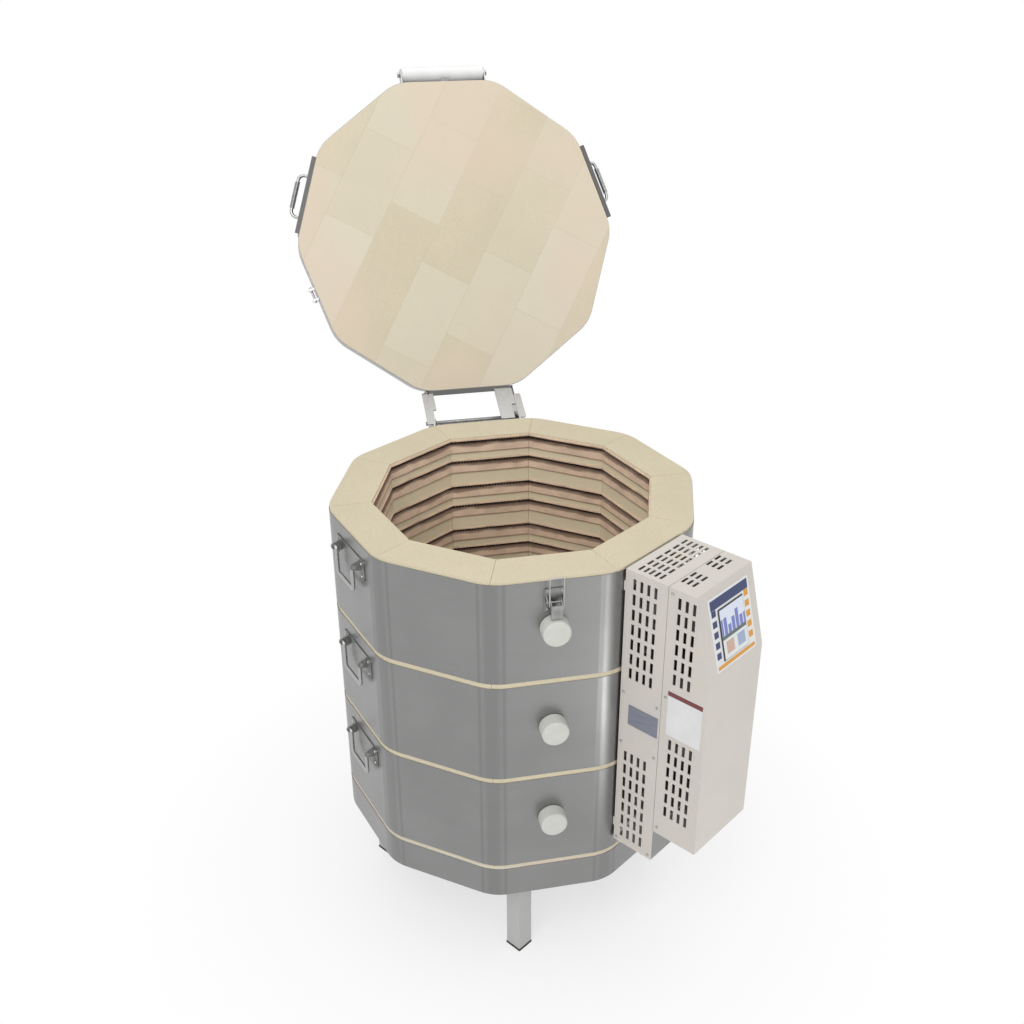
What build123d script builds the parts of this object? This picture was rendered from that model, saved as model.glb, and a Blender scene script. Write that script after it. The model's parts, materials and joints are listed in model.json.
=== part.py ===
from build123d import *
import math
import os

# Ten-sided top-loading kiln: millimetres, +Z up, origin on the chamber's axis at floor level.
# The front, with the peepholes and the latch, faces -Y. A side is named by its angle from the
# front, positive towards +X: the controls are on the side at +36 degrees, the lid hinge at 180.

# Chamber and walls
sides = 10
chamber_flats = 568.3
brick_thickness = 86.0
section_height = 228.6
section_names = ["bottom", "middle", "top"]
floor_thickness = 76.2
corner_radius = 100.0
brick_joint = 0.6
course_seat = 0.3

# Steel skin
jacket_gauge = 1.0
jacket_fit = 0.3
brick_band = 11.0
pan_gauge = 1.5

# Element holders: drops of the slots below the top of each section, and the holder's profile
row_drops = [13.0, 63.0, 127.3, 177.3]
holder_proud = 3.0
holder_depth = 26.0
holder_above = 8.5
holder_below = 25.0
holder_back_above = 10.0
holder_back_below = 14.0
slot_half = 5.5
cavity_half = 7.5
cavity_back = 21.0
holder_fit = 0.4

# Elements and their terminals
coil_radius = 6.3
coil_depth = 13.0
coil_end_gap = 14.0
jumper_radius = 3.0
pin_radius = 3.0
pin_length = 130.0
pin_bore_fit = 0.4
pin_hole_radius = 5.5
connector_size = 14.0
connector_length = 18.0
thermocouple_radius = 4.0
thermocouple_reach = 25.0
thermocouple_length = 150.0
thermocouple_offset = 45.0
thermocouple_block = (30.0, 22.0, 14.0)

# Peepholes
peephole_drop = 105.0
peephole_radius = 10.0
plug_fit = 0.35
plug_shank = 62.0
plug_tip_radius = 8.6
plug_head_radius = 26.0
plug_face_radius = 22.5
plug_head_length = 30.0

# Stand
leg_height = 218.0
leg_tube = 38.0
leg_wall = 2.0
leg_corner_reach = 336.0
leg_turn = -10.0
leg_plate = 64.0
leg_plate_thickness = 5.0
foot_plate_thickness = 4.0
foot_pad_thickness = 5.0
foot_pad_margin = 1.0
foot_hole_radius = 5.5
cross_width = 30.0
cross_height = 20.0

# Lid
lid_thickness = 76.2
lid_overhang = 3.1
lid_seat_gap = 0.5
lid_band_margin = 3.0
lid_open_angle = 112.6
hinge_back = 96.5
hinge_drop = 52.0
hinge_rod_radius = 8.0
hinge_rod_fit = 0.08
hinge_slot_travel = 12.0
hinge_arm_span = 212.0
hinge_arm_gauge = 4.0
hinge_arm_eye = 18.0
hinge_arm_tab = 16.0
hinge_flange_start = 15.0
hinge_flange_length = 43.0
hinge_flange_widths = (26.0, 54.0)
hinge_flange_outer = 15.0
hinge_bracket_gap = 4.0
hinge_angle_length = 216.0
hinge_angle_gauge = 3.0
hinge_angle_flange = 12.0
hinge_stop_radius = 5.0
hinge_stop_reach = 46.0
hinge_spring_radius = 14.0
hinge_plate_size = (250.0, 150.0)
hinge_plate_gauge = 3.0

# Lid handles
lid_grip_radius = 18.0
lid_grip_length = 202.0
lid_grip_standoff = 27.0
lid_grip_bolt_radius = 4.0
lid_grip_ear = 3.0
side_handle_width = 102.0
side_handle_reach = 28.0
side_handle_rod = 4.0
side_coil_radius = 6.6
side_coil_length = 66.0
side_angle_length = 188.0
side_angle_flange = 10.0
side_angle_gauge = 2.5
side_handle_angles = (-72.0, 72.0)

# Drop handles on the sections, on two opposite sides
section_handle_angles = (-72.0, 108.0)
handle_drop = 52.0
handle_plate = (142.0, 46.0)
handle_plate_gauge = 2.0
handle_pivot_reach = 12.0
handle_ear_gap = 92.0
handle_ear_gauge = 4.0
handle_ear_radius = 8.0
bail_radius = 4.0
bail_width = 80.0
bail_drop = 56.0
bail_bend = 5.0
bail_fit = 0.08

# Latch on the front
latch_plate = (40.0, 48.0)
latch_gauge = 2.0
latch_drop = 45.0
latch_pivot_reach = 9.0
latch_pivot_radius = 2.0
latch_ear_radius = 4.4
latch_ear_gap = 31.0
latch_lever_width = 22.0
latch_lever_length = 31.0
loop_wire = 1.6
loop_top = 8.0
loop_pivot_out = 6.5
loop_pivot_below = 5.0
loop_boss = 3.4
running_fit = 0.08
keeper_width = 18.0
keeper_reach = 9.0
keeper_rise = 9.0
keeper_lift = 3.0

# Control housings on the side at +36 degrees
control_angle = 36.0
control_offset = -14.0
control_width = 178.0
control_standoff = 3.5
control_top_drop = 1.0
terminal_depth = 96.0
terminal_bottom_rise = 30.8
control_bottom_rise = 79.0
control_top_depth = 59.0
control_full_depth = 100.0
control_slope_drop = 165.0
sheet = 1.5
housing_gap = 1.0
strap_inset = 46.0
strap_top_drop = 38.0
strap_height = 20.0
baffle_gauge = 1.2
vent_slot = (7.0, 24.0)
vent_pitch = (16.0, 33.0)
top_slot = (20.0, 6.0)
top_pitch = (27.0, 12.0)
screen_size = (80.0, 102.0)
screen_depth = 12.0
screen_rise = 3.0
screen_drop = 98.0
overlay_size = (130.0, 146.0)
overlay_drop = 91.0
overlay_gauge = 0.8
box_hinge_length = 540.0
box_hinge_pin_radius = 2.5
box_hinge_knuckle = 5.0
box_hinge_leaf = 22.0
box_hinge_leaf_gauge = 1.5
box_hinge_knuckles = 5
gland_radius = 20.0
gland_bore = 12.0
gland_length = 22.0
relay_size = (50.0, 44.0, 34.0)
relay_pitch = 62.0
board_size = (110.0, 140.0, 1.6)
board_spacing = 14.0
transformer_size = (60.0, 56.0, 46.0)
power_block_size = (70.0, 42.0, 30.0)

# Sizes worked out from the ones above
half_turn = math.pi / sides
chamber_apothem = chamber_flats / 2
brick_apothem = chamber_apothem + brick_thickness
jacket_inside = brick_apothem + jacket_fit
jacket_outside = jacket_inside + jacket_gauge
seat_face = jacket_outside + course_seat
chamber_floor = leg_height + floor_thickness
rim_height = chamber_floor + section_height * len(section_names)
terminal_bottom_drop = rim_height - chamber_floor - terminal_bottom_rise
control_bottom_drop = terminal_bottom_drop - control_bottom_rise
strap_drops = (strap_top_drop, terminal_bottom_drop - strap_inset)
coil_apothem = chamber_apothem + coil_depth
jacket_height = section_height - brick_band
hinge_y = jacket_outside + hinge_back
hinge_z = rim_height - hinge_drop
lid_outside = jacket_outside + lid_overhang
lid_bottom = rim_height + lid_seat_gap
lid_middle = lid_bottom + lid_thickness / 2

pieces = {}


def outward(angle):
    """Direction square to the side at this angle."""
    turn = math.radians(angle)
    return Vector(math.sin(turn), -math.cos(turn), 0)


def along(angle):
    """Direction along the side at this angle, to the right as seen from outside."""
    turn = math.radians(angle)
    return Vector(math.cos(turn), math.sin(turn), 0)


def face_plane(angle, distance, height):
    """Plane parallel to a side: x to the right, y up, z outwards."""
    origin = outward(angle) * distance + Vector(0, 0, height)
    return Plane(origin=origin, x_dir=along(angle), z_dir=outward(angle))


def profile_plane(angle, offset=0.0, height=0.0):
    """Upright plane square to a side: x outwards, y up."""
    origin = along(angle) * offset + Vector(0, 0, height)
    return Plane(origin=origin, x_dir=outward(angle), z_dir=-along(angle))


def ten_sided(apothem, corner=0.0):
    """Outline of the kiln at this distance from its axis, with rounded corners."""
    with BuildSketch(mode=Mode.PRIVATE) as outline:
        RegularPolygon(apothem, sides, major_radius=False)
        if corner > 0:
            fillet(outline.vertices(), corner)
    return outline.sketch


def wedge(joint):
    """One side's share of the circle, drawn back by half a joint on each edge."""
    reach = brick_apothem * 2
    start = joint / 2 / math.sin(half_turn)
    spread = reach * math.tan(half_turn)
    with BuildSketch(mode=Mode.PRIVATE) as outline:
        Polygon((0, -start), (spread, -start - reach), (-spread, -start - reach), align=None)
    return outline.sketch


def shell_ring(outer, gauge, corner, base, height):
    """Thin ten-sided ring of sheet steel."""
    with BuildPart() as ring:
        with BuildSketch(Plane.XY.offset(base)):
            add(ten_sided(outer, corner))
            add(ten_sided(outer - gauge, corner - gauge), mode=Mode.SUBTRACT)
        extrude(amount=height)
    return ring.part


# How the lid stands open: everything on it is drawn on planes of the closed lid, turned back
open_turn = (
    Location((0, hinge_y, hinge_z)) * Location((0, 0, 0), (-lid_open_angle, 0, 0))
    * Location((0, -hinge_y, -hinge_z))
)


def on_lid(plane):
    """Plane of the closed lid, carried to the open lid."""
    return Plane(open_turn * plane.location)


# Wall bricks of one section, with dovetail grooves for the element holders
def holder_outline(drop, fit):
    """Outline of a holder, or of its groove when fit is its clearance."""
    front = chamber_apothem - holder_proud - fit
    back = chamber_apothem + holder_depth + fit
    centre = section_height - drop
    return [
        (front, centre + holder_above + fit),
        (back, centre + holder_back_above + fit),
        (back, centre - holder_back_below - fit),
        (front, centre - holder_below - fit),
    ]


def cavity_outline(drop):
    """Outline of the coil's channel in a holder, wider behind the slot."""
    front = chamber_apothem - holder_proud
    centre = section_height - drop
    lip = chamber_apothem + slot_half
    back = chamber_apothem + cavity_back
    return [
        (front, centre + slot_half),
        (lip, centre + slot_half),
        (back, centre + cavity_half),
        (back, centre - cavity_half),
        (lip, centre - slot_half),
        (front, centre - slot_half),
    ]


with BuildPart() as wall_brick:
    with BuildSketch():
        add(ten_sided(brick_apothem, corner_radius))
        add(ten_sided(chamber_apothem), mode=Mode.SUBTRACT)
        add(wedge(brick_joint), mode=Mode.INTERSECT)
    extrude(amount=section_height)
    with BuildSketch(profile_plane(0)):
        for drop in row_drops:
            Polygon(*holder_outline(drop, holder_fit), align=None)
    extrude(amount=chamber_flats, both=True, mode=Mode.SUBTRACT)

with BuildPart() as side_holders:
    with BuildSketch(profile_plane(0)):
        for drop in row_drops:
            Polygon(*holder_outline(drop, 0.0), align=None)
            Polygon(*cavity_outline(drop), align=None, mode=Mode.SUBTRACT)
    extrude(amount=chamber_flats, both=True)
    with BuildSketch():
        add(wedge(brick_joint))
    extrude(amount=section_height, mode=Mode.INTERSECT)


# Elements: each covers two rows, with a jumper at one end and two pins at the other
coil_settle = (cavity_half - slot_half) * (coil_depth - slot_half) / (cavity_back - slot_half)
coil_sink = slot_half + coil_settle - coil_radius - course_seat


def row_path(height):
    """Points of one coil row, once round the chamber from the terminal side."""
    start = outward(control_angle) * coil_apothem + Vector(0, 0, height)
    corner = coil_apothem / math.cos(half_turn)
    step = math.degrees(2 * half_turn)
    turns = [control_angle + step * (index + 0.5) for index in range(sides)]
    corners = [outward(turn) * corner + Vector(0, 0, height) for turn in turns]
    side_way = along(control_angle) * coil_end_gap
    return [start + side_way] + corners + [start - side_way]


def element(upper_drop, lower_drop):
    """One element: two rows of coil, their jumper and the two terminal pins."""
    heights = [section_height - drop - coil_sink for drop in (upper_drop, lower_drop)]
    with BuildPart() as coil:
        for height in heights:
            points = row_path(height)
            with BuildLine() as run:
                Polyline(*points)
            with BuildSketch(Plane(origin=points[0], z_dir=along(control_angle))):
                RegularPolygon(coil_radius, 8)
            sweep(path=run.wire(), transition=Transition.RIGHT)
        with BuildSketch(face_plane(control_angle, coil_apothem - jumper_radius, 0)):
            with Locations(*[(coil_end_gap, height) for height in heights]):
                Circle(pin_radius)
        extrude(amount=pin_length)
        jumper_foot = outward(control_angle) * coil_apothem - along(control_angle) * coil_end_gap
        with BuildSketch(Plane(origin=jumper_foot + Vector(0, 0, heights[1]), z_dir=(0, 0, 1))):
            Circle(jumper_radius)
        extrude(amount=heights[0] - heights[1])
    return coil.part


# Cuts on the terminal side: pin bores, jumper notches and the thermocouple bore
pin_heights = [section_height - drop - coil_sink for drop in row_drops]
with BuildPart() as terminal_cuts:
    with BuildSketch(face_plane(control_angle, chamber_apothem - holder_proud * 2, 0)):
        with Locations(*[(coil_end_gap, height) for height in pin_heights]):
            Circle(pin_radius + pin_bore_fit)
        with Locations((thermocouple_offset, section_height - peephole_drop)):
            Circle(thermocouple_radius + pin_bore_fit)
    extrude(amount=brick_thickness * 2)
    with BuildSketch(face_plane(control_angle, chamber_apothem - holder_proud * 2, 0)):
        for upper, lower in (pin_heights[:2], pin_heights[2:]):
            with Locations((-coil_end_gap, (upper + lower) / 2)):
                Rectangle(jumper_radius * 3, upper - lower)
    extrude(amount=coil_depth + holder_proud * 2 + jumper_radius * 1.5)

with BuildPart() as peephole_cut:
    with BuildSketch(face_plane(0, chamber_apothem / 2, section_height - peephole_drop)):
        Circle(peephole_radius)
    extrude(amount=chamber_flats)

with BuildPart() as section_bricks:
    with PolarLocations(0, sides):
        add(wall_brick.part)
    add(terminal_cuts.part, mode=Mode.SUBTRACT)
    add(peephole_cut.part, mode=Mode.SUBTRACT)

with BuildPart() as section_holders:
    with PolarLocations(0, sides):
        add(side_holders.part)
    add(terminal_cuts.part, mode=Mode.SUBTRACT)

with BuildPart() as section_elements:
    add(element(row_drops[0], row_drops[1]))
    add(element(row_drops[2], row_drops[3]))

# Holes in the jacket for the pins and the thermocouple, and for the peephole in front
with BuildPart() as jacket_cuts:
    with BuildSketch(face_plane(control_angle, brick_apothem - jacket_fit, 0)):
        with Locations(*[(coil_end_gap, height) for height in pin_heights]):
            Circle(pin_hole_radius)
        with Locations((thermocouple_offset, section_height - peephole_drop)):
            Rectangle(thermocouple_block[0] + jacket_fit * 2, thermocouple_block[1] + jacket_fit * 2)
    extrude(amount=jacket_gauge * 4)
    add(peephole_cut.part)

for index, name in enumerate(section_names):
    base = chamber_floor + index * section_height
    with BuildPart() as bricks:
        with Locations((0, 0, base)):
            add(section_bricks.part)
    pieces["bricks_" + name] = bricks

    with BuildPart() as holders:
        with Locations((0, 0, base)):
            add(section_holders.part)
    pieces["element_holders_" + name] = holders

    with BuildPart() as elements:
        with Locations((0, 0, base)):
            add(section_elements.part)
    pieces["elements_" + name] = elements

    with BuildPart() as jacket:
        add(shell_ring(jacket_outside, jacket_gauge, corner_radius, base + brick_band / 2, jacket_height))
        with Locations((0, 0, base)):
            add(jacket_cuts.part, mode=Mode.SUBTRACT)
    pieces["jacket_" + name] = jacket

    # Tapered ceramic plug in the peephole
    with BuildPart() as plug:
        axis_plane = profile_plane(0, 0, base + section_height - peephole_drop)
        shank_start = seat_face - plug_shank
        with BuildSketch(axis_plane):
            with BuildLine():
                Polyline(
                    (shank_start, 0),
                    (shank_start, plug_tip_radius),
                    (seat_face, peephole_radius - plug_fit),
                    (seat_face, plug_head_radius),
                    (seat_face + plug_head_length, plug_face_radius),
                    (seat_face + plug_head_length, 0),
                    close=True,
                )
            make_face()
        revolve(axis=Axis(axis_plane.origin, outward(0)))
        fillet(plug.edges().filter_by(GeomType.CIRCLE).group_by(Axis.Y)[0], 3)
    pieces["peephole_plug_" + name] = plug

# Screw connectors on the element pins, inside the terminal box
with BuildPart() as connectors:
    for index in range(len(section_names)):
        base = chamber_floor + index * section_height
        tip = coil_apothem - jumper_radius + pin_length
        with BuildSketch(face_plane(control_angle, tip - connector_length, base)):
            with Locations(*[(coil_end_gap, height) for height in pin_heights]):
                Rectangle(connector_size, connector_size)
                Circle(pin_radius + running_fit, mode=Mode.SUBTRACT)
        extrude(amount=connector_length)
pieces["element_connectors"] = connectors

# Thermocouples in their protection tubes, one for each section
with BuildPart() as thermocouples:
    for index in range(len(section_names)):
        height = chamber_floor + (index + 1) * section_height - peephole_drop
        with BuildSketch(face_plane(control_angle, chamber_apothem - thermocouple_reach, height)):
            with Locations((thermocouple_offset, 0)):
                Circle(thermocouple_radius)
        extrude(amount=thermocouple_length)
        with BuildSketch(face_plane(control_angle, brick_apothem + jacket_fit, height)):
            with Locations((thermocouple_offset, 0)):
                RectangleRounded(thermocouple_block[0], thermocouple_block[1], 4)
        extrude(amount=thermocouple_block[2])
pieces["thermocouples"] = thermocouples

# Floor slab in its pan
with BuildPart() as floor_slab:
    with BuildSketch(Plane.XY.offset(leg_height + pan_gauge)):
        add(ten_sided(brick_apothem, corner_radius))
    extrude(amount=floor_thickness - pan_gauge)
pieces["floor_slab"] = floor_slab

with BuildPart() as floor_pan:
    with BuildSketch(Plane.XY.offset(leg_height)):
        add(ten_sided(jacket_outside, corner_radius))
    extrude(amount=pan_gauge)
    add(shell_ring(jacket_outside, jacket_gauge, corner_radius, leg_height, floor_thickness - brick_band / 2))
pieces["floor_pan"] = floor_pan

# Stand: four square legs with a corner outwards, their pads and the welded cross under the pan
leg_centre = leg_corner_reach - leg_tube / math.sqrt(2)
leg_turns = [leg_turn + 90 * quarter for quarter in range(4)]
with BuildPart() as legs:
    for turn in leg_turns:
        foot = outward(turn) * leg_centre + Vector(0, 0, foot_pad_thickness)
        plate = outward(turn) * (leg_corner_reach - leg_plate / 2) + Vector(0, 0, leg_height - leg_plate_thickness)
        with BuildSketch(Plane(origin=foot, x_dir=outward(turn), z_dir=(0, 0, 1))):
            Rectangle(leg_tube, leg_tube, rotation=45)
            Rectangle(leg_tube - leg_wall * 2, leg_tube - leg_wall * 2, rotation=45, mode=Mode.SUBTRACT)
        extrude(amount=leg_height - foot_pad_thickness)
        with BuildSketch(Plane(origin=foot, x_dir=outward(turn), z_dir=(0, 0, 1))):
            Rectangle(leg_tube, leg_tube, rotation=45)
            Circle(foot_hole_radius, mode=Mode.SUBTRACT)
        extrude(amount=foot_plate_thickness)
        with BuildSketch(Plane(origin=plate, x_dir=outward(turn), z_dir=(0, 0, 1))):
            RectangleRounded(leg_plate, leg_plate, 6)
        extrude(amount=leg_plate_thickness)
pieces["legs"] = legs

with BuildPart() as foot_pads:
    for turn in leg_turns:
        with BuildSketch(Plane(origin=outward(turn) * leg_centre, x_dir=outward(turn), z_dir=(0, 0, 1))):
            Rectangle(leg_tube + foot_pad_margin * 2, leg_tube + foot_pad_margin * 2, rotation=45)
            Circle(foot_hole_radius, mode=Mode.SUBTRACT)
        extrude(amount=foot_pad_thickness)
pieces["foot_pads"] = foot_pads

with BuildPart() as stand_cross:
    cross_length = (leg_corner_reach - leg_plate - course_seat) * 2
    with BuildSketch(Plane.XY.offset(leg_height - cross_height)):
        Rectangle(cross_length, cross_width, rotation=leg_turn)
        Rectangle(cross_length, cross_width, rotation=leg_turn + 90)
    extrude(amount=cross_height)
pieces["stand_cross"] = stand_cross

# Lid slab and its steel band
with BuildPart() as lid_slab:
    with BuildSketch(on_lid(Plane.XY.offset(lid_bottom))):
        add(ten_sided(lid_outside - jacket_gauge - jacket_fit, corner_radius))
    extrude(amount=lid_thickness)
pieces["lid_slab"] = lid_slab

with BuildPart() as lid_band:
    with BuildSketch(on_lid(Plane.XY.offset(lid_bottom + lid_band_margin))):
        add(ten_sided(lid_outside, corner_radius))
        add(ten_sided(lid_outside - jacket_gauge, corner_radius - jacket_gauge), mode=Mode.SUBTRACT)
    extrude(amount=lid_thickness - lid_band_margin * 2)
pieces["lid_band"] = lid_band

# Screw clamp that draws the band tight
with BuildPart() as band_clamp:
    with BuildSketch(on_lid(face_plane(-108, lid_outside, lid_middle))):
        with GridLocations(26, 0, 2, 1):
            Rectangle(6, 22)
    extrude(amount=14)
    with BuildSketch(on_lid(Plane(origin=face_plane(-108, lid_outside + 8, lid_middle).origin, z_dir=along(-108)))):
        Circle(3)
    extrude(amount=20, both=True)
pieces["lid_band_clamp"] = band_clamp

# Hinge on the lid: an angle along the lid's rear edge and two slotted arms
with BuildPart() as hinge_angle:
    with BuildSketch(on_lid(profile_plane(180, 0, lid_bottom))):
        with Locations((lid_outside, 0)):
            Rectangle(hinge_angle_gauge, lid_thickness, align=(Align.MIN, Align.MIN))
    extrude(amount=hinge_angle_length / 2, both=True)
    with BuildSketch(on_lid(profile_plane(180, 0, lid_bottom))):
        with Locations((lid_outside, 0)):
            Rectangle(hinge_angle_flange, hinge_angle_gauge, align=(Align.MIN, Align.MIN))
    extrude(amount=(hinge_arm_span - hinge_arm_gauge) / 2 - course_seat, both=True)
pieces["hinge_lid_angle"] = hinge_angle

arm_front = lid_outside + hinge_angle_gauge
tab_low = lid_bottom + hinge_angle_gauge + course_seat
tab_high = tab_low + lid_thickness * 0.7
slot_width = (hinge_rod_radius + hinge_rod_fit) * 2
eye_y = hinge_y - arm_front
eye_z = hinge_z - hinge_slot_travel - tab_low
underside = math.atan2(eye_z, eye_y) - math.asin(hinge_arm_eye / math.hypot(eye_y, eye_z))
flange_y = arm_front + hinge_flange_start * math.cos(underside)
flange_z = tab_low + hinge_flange_start * math.sin(underside)
with BuildPart() as hinge_arms:
    for side_sign, flange_width in zip((-1, 1), hinge_flange_widths):
        flange_edge = side_sign * (hinge_arm_span / 2 + hinge_flange_outer)
        flange = Plane(origin=(flange_edge, 0, 0), x_dir=(0, 1, 0), z_dir=(1, 0, 0))
        with BuildSketch(on_lid(flange)):
            with Locations(Location((flange_y, flange_z), math.degrees(underside))):
                Rectangle(hinge_flange_length, hinge_arm_gauge, align=(Align.MIN, Align.MIN))
        extrude(amount=-side_sign * flange_width)
        origin = (side_sign * hinge_arm_span / 2, 0, 0)
        with BuildSketch(on_lid(Plane(origin=origin, x_dir=(0, 1, 0), z_dir=(1, 0, 0)))):
            with Locations((hinge_y, hinge_z), (hinge_y, hinge_z - hinge_slot_travel)):
                Circle(hinge_arm_eye)
            with Locations((arm_front, tab_low)):
                Rectangle(hinge_arm_tab, tab_high - tab_low, align=(Align.MIN, Align.MIN))
            make_hull()
            with Locations((hinge_y, hinge_z - hinge_slot_travel / 2)):
                SlotOverall(slot_width + hinge_slot_travel, slot_width, rotation=90, mode=Mode.SUBTRACT)
        extrude(amount=hinge_arm_gauge / 2, both=True)
pieces["hinge_arms"] = hinge_arms

# Hinge on the body: a welded bracket of plate, cheeks and stop rod, then the hinge rod and spring
hinge_plate_top = rim_height - brick_band
bracket_front = seat_face + hinge_plate_gauge
rod_half = hinge_arm_span / 2 + hinge_arm_gauge * 3
corner_y = arm_front + hinge_arm_tab - hinge_y
corner_z = tab_high - hinge_z
arm_lean = math.atan2(corner_z, corner_y) - math.radians(lid_open_angle)
arm_lean += math.asin(hinge_arm_eye / math.hypot(corner_y, corner_z))
stop_side = hinge_arm_eye + hinge_stop_radius + course_seat
stop_y = hinge_y + hinge_stop_reach * math.cos(arm_lean) + stop_side * math.sin(arm_lean)
stop_z = hinge_z + hinge_stop_reach * math.sin(arm_lean) - stop_side * math.cos(arm_lean)
bracket_middle = hinge_arm_span / 2 - hinge_arm_gauge - hinge_bracket_gap
with BuildPart() as body_bracket:
    with BuildSketch(face_plane(180, seat_face, hinge_plate_top - hinge_plate_size[1] / 2)):
        RectangleRounded(*hinge_plate_size, 8)
    extrude(amount=hinge_plate_gauge)
    for side_sign in (-1, 1):
        with BuildSketch(Plane(origin=(side_sign * bracket_middle, 0, 0), x_dir=(0, 1, 0), z_dir=(1, 0, 0))):
            with Locations((hinge_y, hinge_z), (stop_y, stop_z)):
                Circle(hinge_rod_radius * 1.8)
            with Locations((bracket_front, hinge_plate_top - hinge_plate_size[1] * 0.6)):
                Rectangle(12, hinge_plate_size[1] * 0.7, align=(Align.MIN, Align.CENTER))
            make_hull()
            with Locations((hinge_y, hinge_z)):
                Circle(hinge_rod_radius + hinge_rod_fit, mode=Mode.SUBTRACT)
        extrude(amount=hinge_arm_gauge / 2, both=True)
    with BuildSketch(Plane(origin=(0, stop_y, stop_z), z_dir=(1, 0, 0))):
        Circle(hinge_stop_radius)
    extrude(amount=rod_half, both=True)
pieces["hinge_body_bracket"] = body_bracket

with BuildPart() as hinge_rod:
    with BuildSketch(Plane(origin=(0, hinge_y, hinge_z), z_dir=(1, 0, 0))):
        Circle(hinge_rod_radius)
    extrude(amount=rod_half, both=True)
pieces["hinge_rod"] = hinge_rod

with BuildPart() as hinge_spring:
    with BuildSketch(Plane(origin=(0, hinge_y, hinge_z), z_dir=(1, 0, 0))):
        Circle(hinge_spring_radius)
        Circle(hinge_rod_radius + course_seat, mode=Mode.SUBTRACT)
    extrude(amount=bracket_middle - hinge_arm_gauge, both=True)
pieces["hinge_spring"] = hinge_spring

# Front lid handle: a fat grip on a bolt between two ears
grip_axis = lid_outside + lid_grip_standoff
with BuildPart() as lid_grip:
    with BuildSketch(on_lid(Plane(origin=(0, -grip_axis, lid_middle), z_dir=(1, 0, 0)))):
        Circle(lid_grip_radius)
        Circle(lid_grip_bolt_radius + running_fit, mode=Mode.SUBTRACT)
    extrude(amount=lid_grip_length / 2, both=True)
    chamfer(lid_grip.edges().filter_by(GeomType.CIRCLE).filter_by(lambda e: e.radius > lid_grip_radius / 2), 2)
pieces["lid_handle_grip"] = lid_grip

with BuildPart() as grip_bracket:
    for side_sign in (-1, 1):
        ear_middle = side_sign * (lid_grip_length / 2 + lid_grip_ear / 2 + course_seat)
        with BuildSketch(on_lid(Plane(origin=(ear_middle, 0, 0), x_dir=(0, -1, 0), z_dir=(-1, 0, 0)))):
            with Locations((grip_axis, lid_middle)):
                Circle(lid_grip_radius * 0.7)
            with Locations((lid_outside, lid_middle)):
                Rectangle(lid_grip_ear, lid_thickness * 0.6, align=(Align.MIN, Align.CENTER))
            make_hull()
            with Locations((grip_axis, lid_middle)):
                Circle(lid_grip_bolt_radius + running_fit, mode=Mode.SUBTRACT)
        extrude(amount=lid_grip_ear / 2, both=True)
    with BuildSketch(on_lid(face_plane(0, lid_outside, lid_middle))):
        Rectangle(lid_grip_length + lid_grip_ear * 2, lid_thickness * 0.6)
    extrude(amount=lid_grip_ear * 0.8)
pieces["lid_handle_bracket"] = grip_bracket

with BuildPart() as grip_bolt:
    with BuildSketch(on_lid(Plane(origin=(0, -grip_axis, lid_middle), z_dir=(1, 0, 0)))):
        Circle(lid_grip_bolt_radius)
    extrude(amount=lid_grip_length / 2 + lid_grip_ear + lid_grip_bolt_radius, both=True)
    for side_sign in (-1, 1):
        head_start = side_sign * (lid_grip_length / 2 + lid_grip_ear + course_seat * 2)
        with BuildSketch(on_lid(Plane(origin=(head_start, -grip_axis, lid_middle), z_dir=(side_sign, 0, 0)))):
            RegularPolygon(lid_grip_bolt_radius * 1.8, 6)
        extrude(amount=lid_grip_bolt_radius * 1.5)
pieces["lid_handle_bolt"] = grip_bolt

# Side handles of the lid: a bent rod with a coil grip, on an angle under the lid's edge
rod_start = lid_outside + side_angle_gauge
with BuildPart() as side_coils:
    for angle in side_handle_angles:
        centre = face_plane(angle, rod_start + side_handle_reach, lid_middle).origin
        with BuildSketch(on_lid(Plane(origin=centre, z_dir=along(angle)))):
            Circle(side_coil_radius)
            Circle(side_handle_rod + course_seat, mode=Mode.SUBTRACT)
        extrude(amount=side_coil_length / 2, both=True)
pieces["lid_side_coils"] = side_coils

with BuildPart() as side_angles:
    for angle in side_handle_angles:
        with BuildSketch(on_lid(profile_plane(angle, 0, lid_bottom))):
            with Locations((lid_outside, 0)):
                Rectangle(side_angle_gauge, lid_thickness * 0.8, align=(Align.MIN, Align.MIN))
                Rectangle(side_angle_flange, side_angle_gauge, align=(Align.MIN, Align.MIN))
        extrude(amount=side_angle_length / 2, both=True)
pieces["lid_side_angles"] = side_angles

with BuildPart() as side_handles:
    for angle in side_handle_angles:
        half = side_handle_width / 2
        root = face_plane(angle, rod_start, lid_middle).origin
        with BuildLine(on_lid(Plane(origin=root, x_dir=along(angle), z_dir=(0, 0, -1)))) as bend:
            FilletPolyline(
                (-half, 0), (-half, side_handle_reach), (half, side_handle_reach), (half, 0),
                radius=side_handle_reach / 2,
            )
        with BuildSketch(Plane(origin=bend.wire() @ 0, z_dir=bend.wire() % 0)):
            Circle(side_handle_rod)
        sweep(path=bend.wire())
pieces["lid_side_handles"] = side_handles

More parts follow.
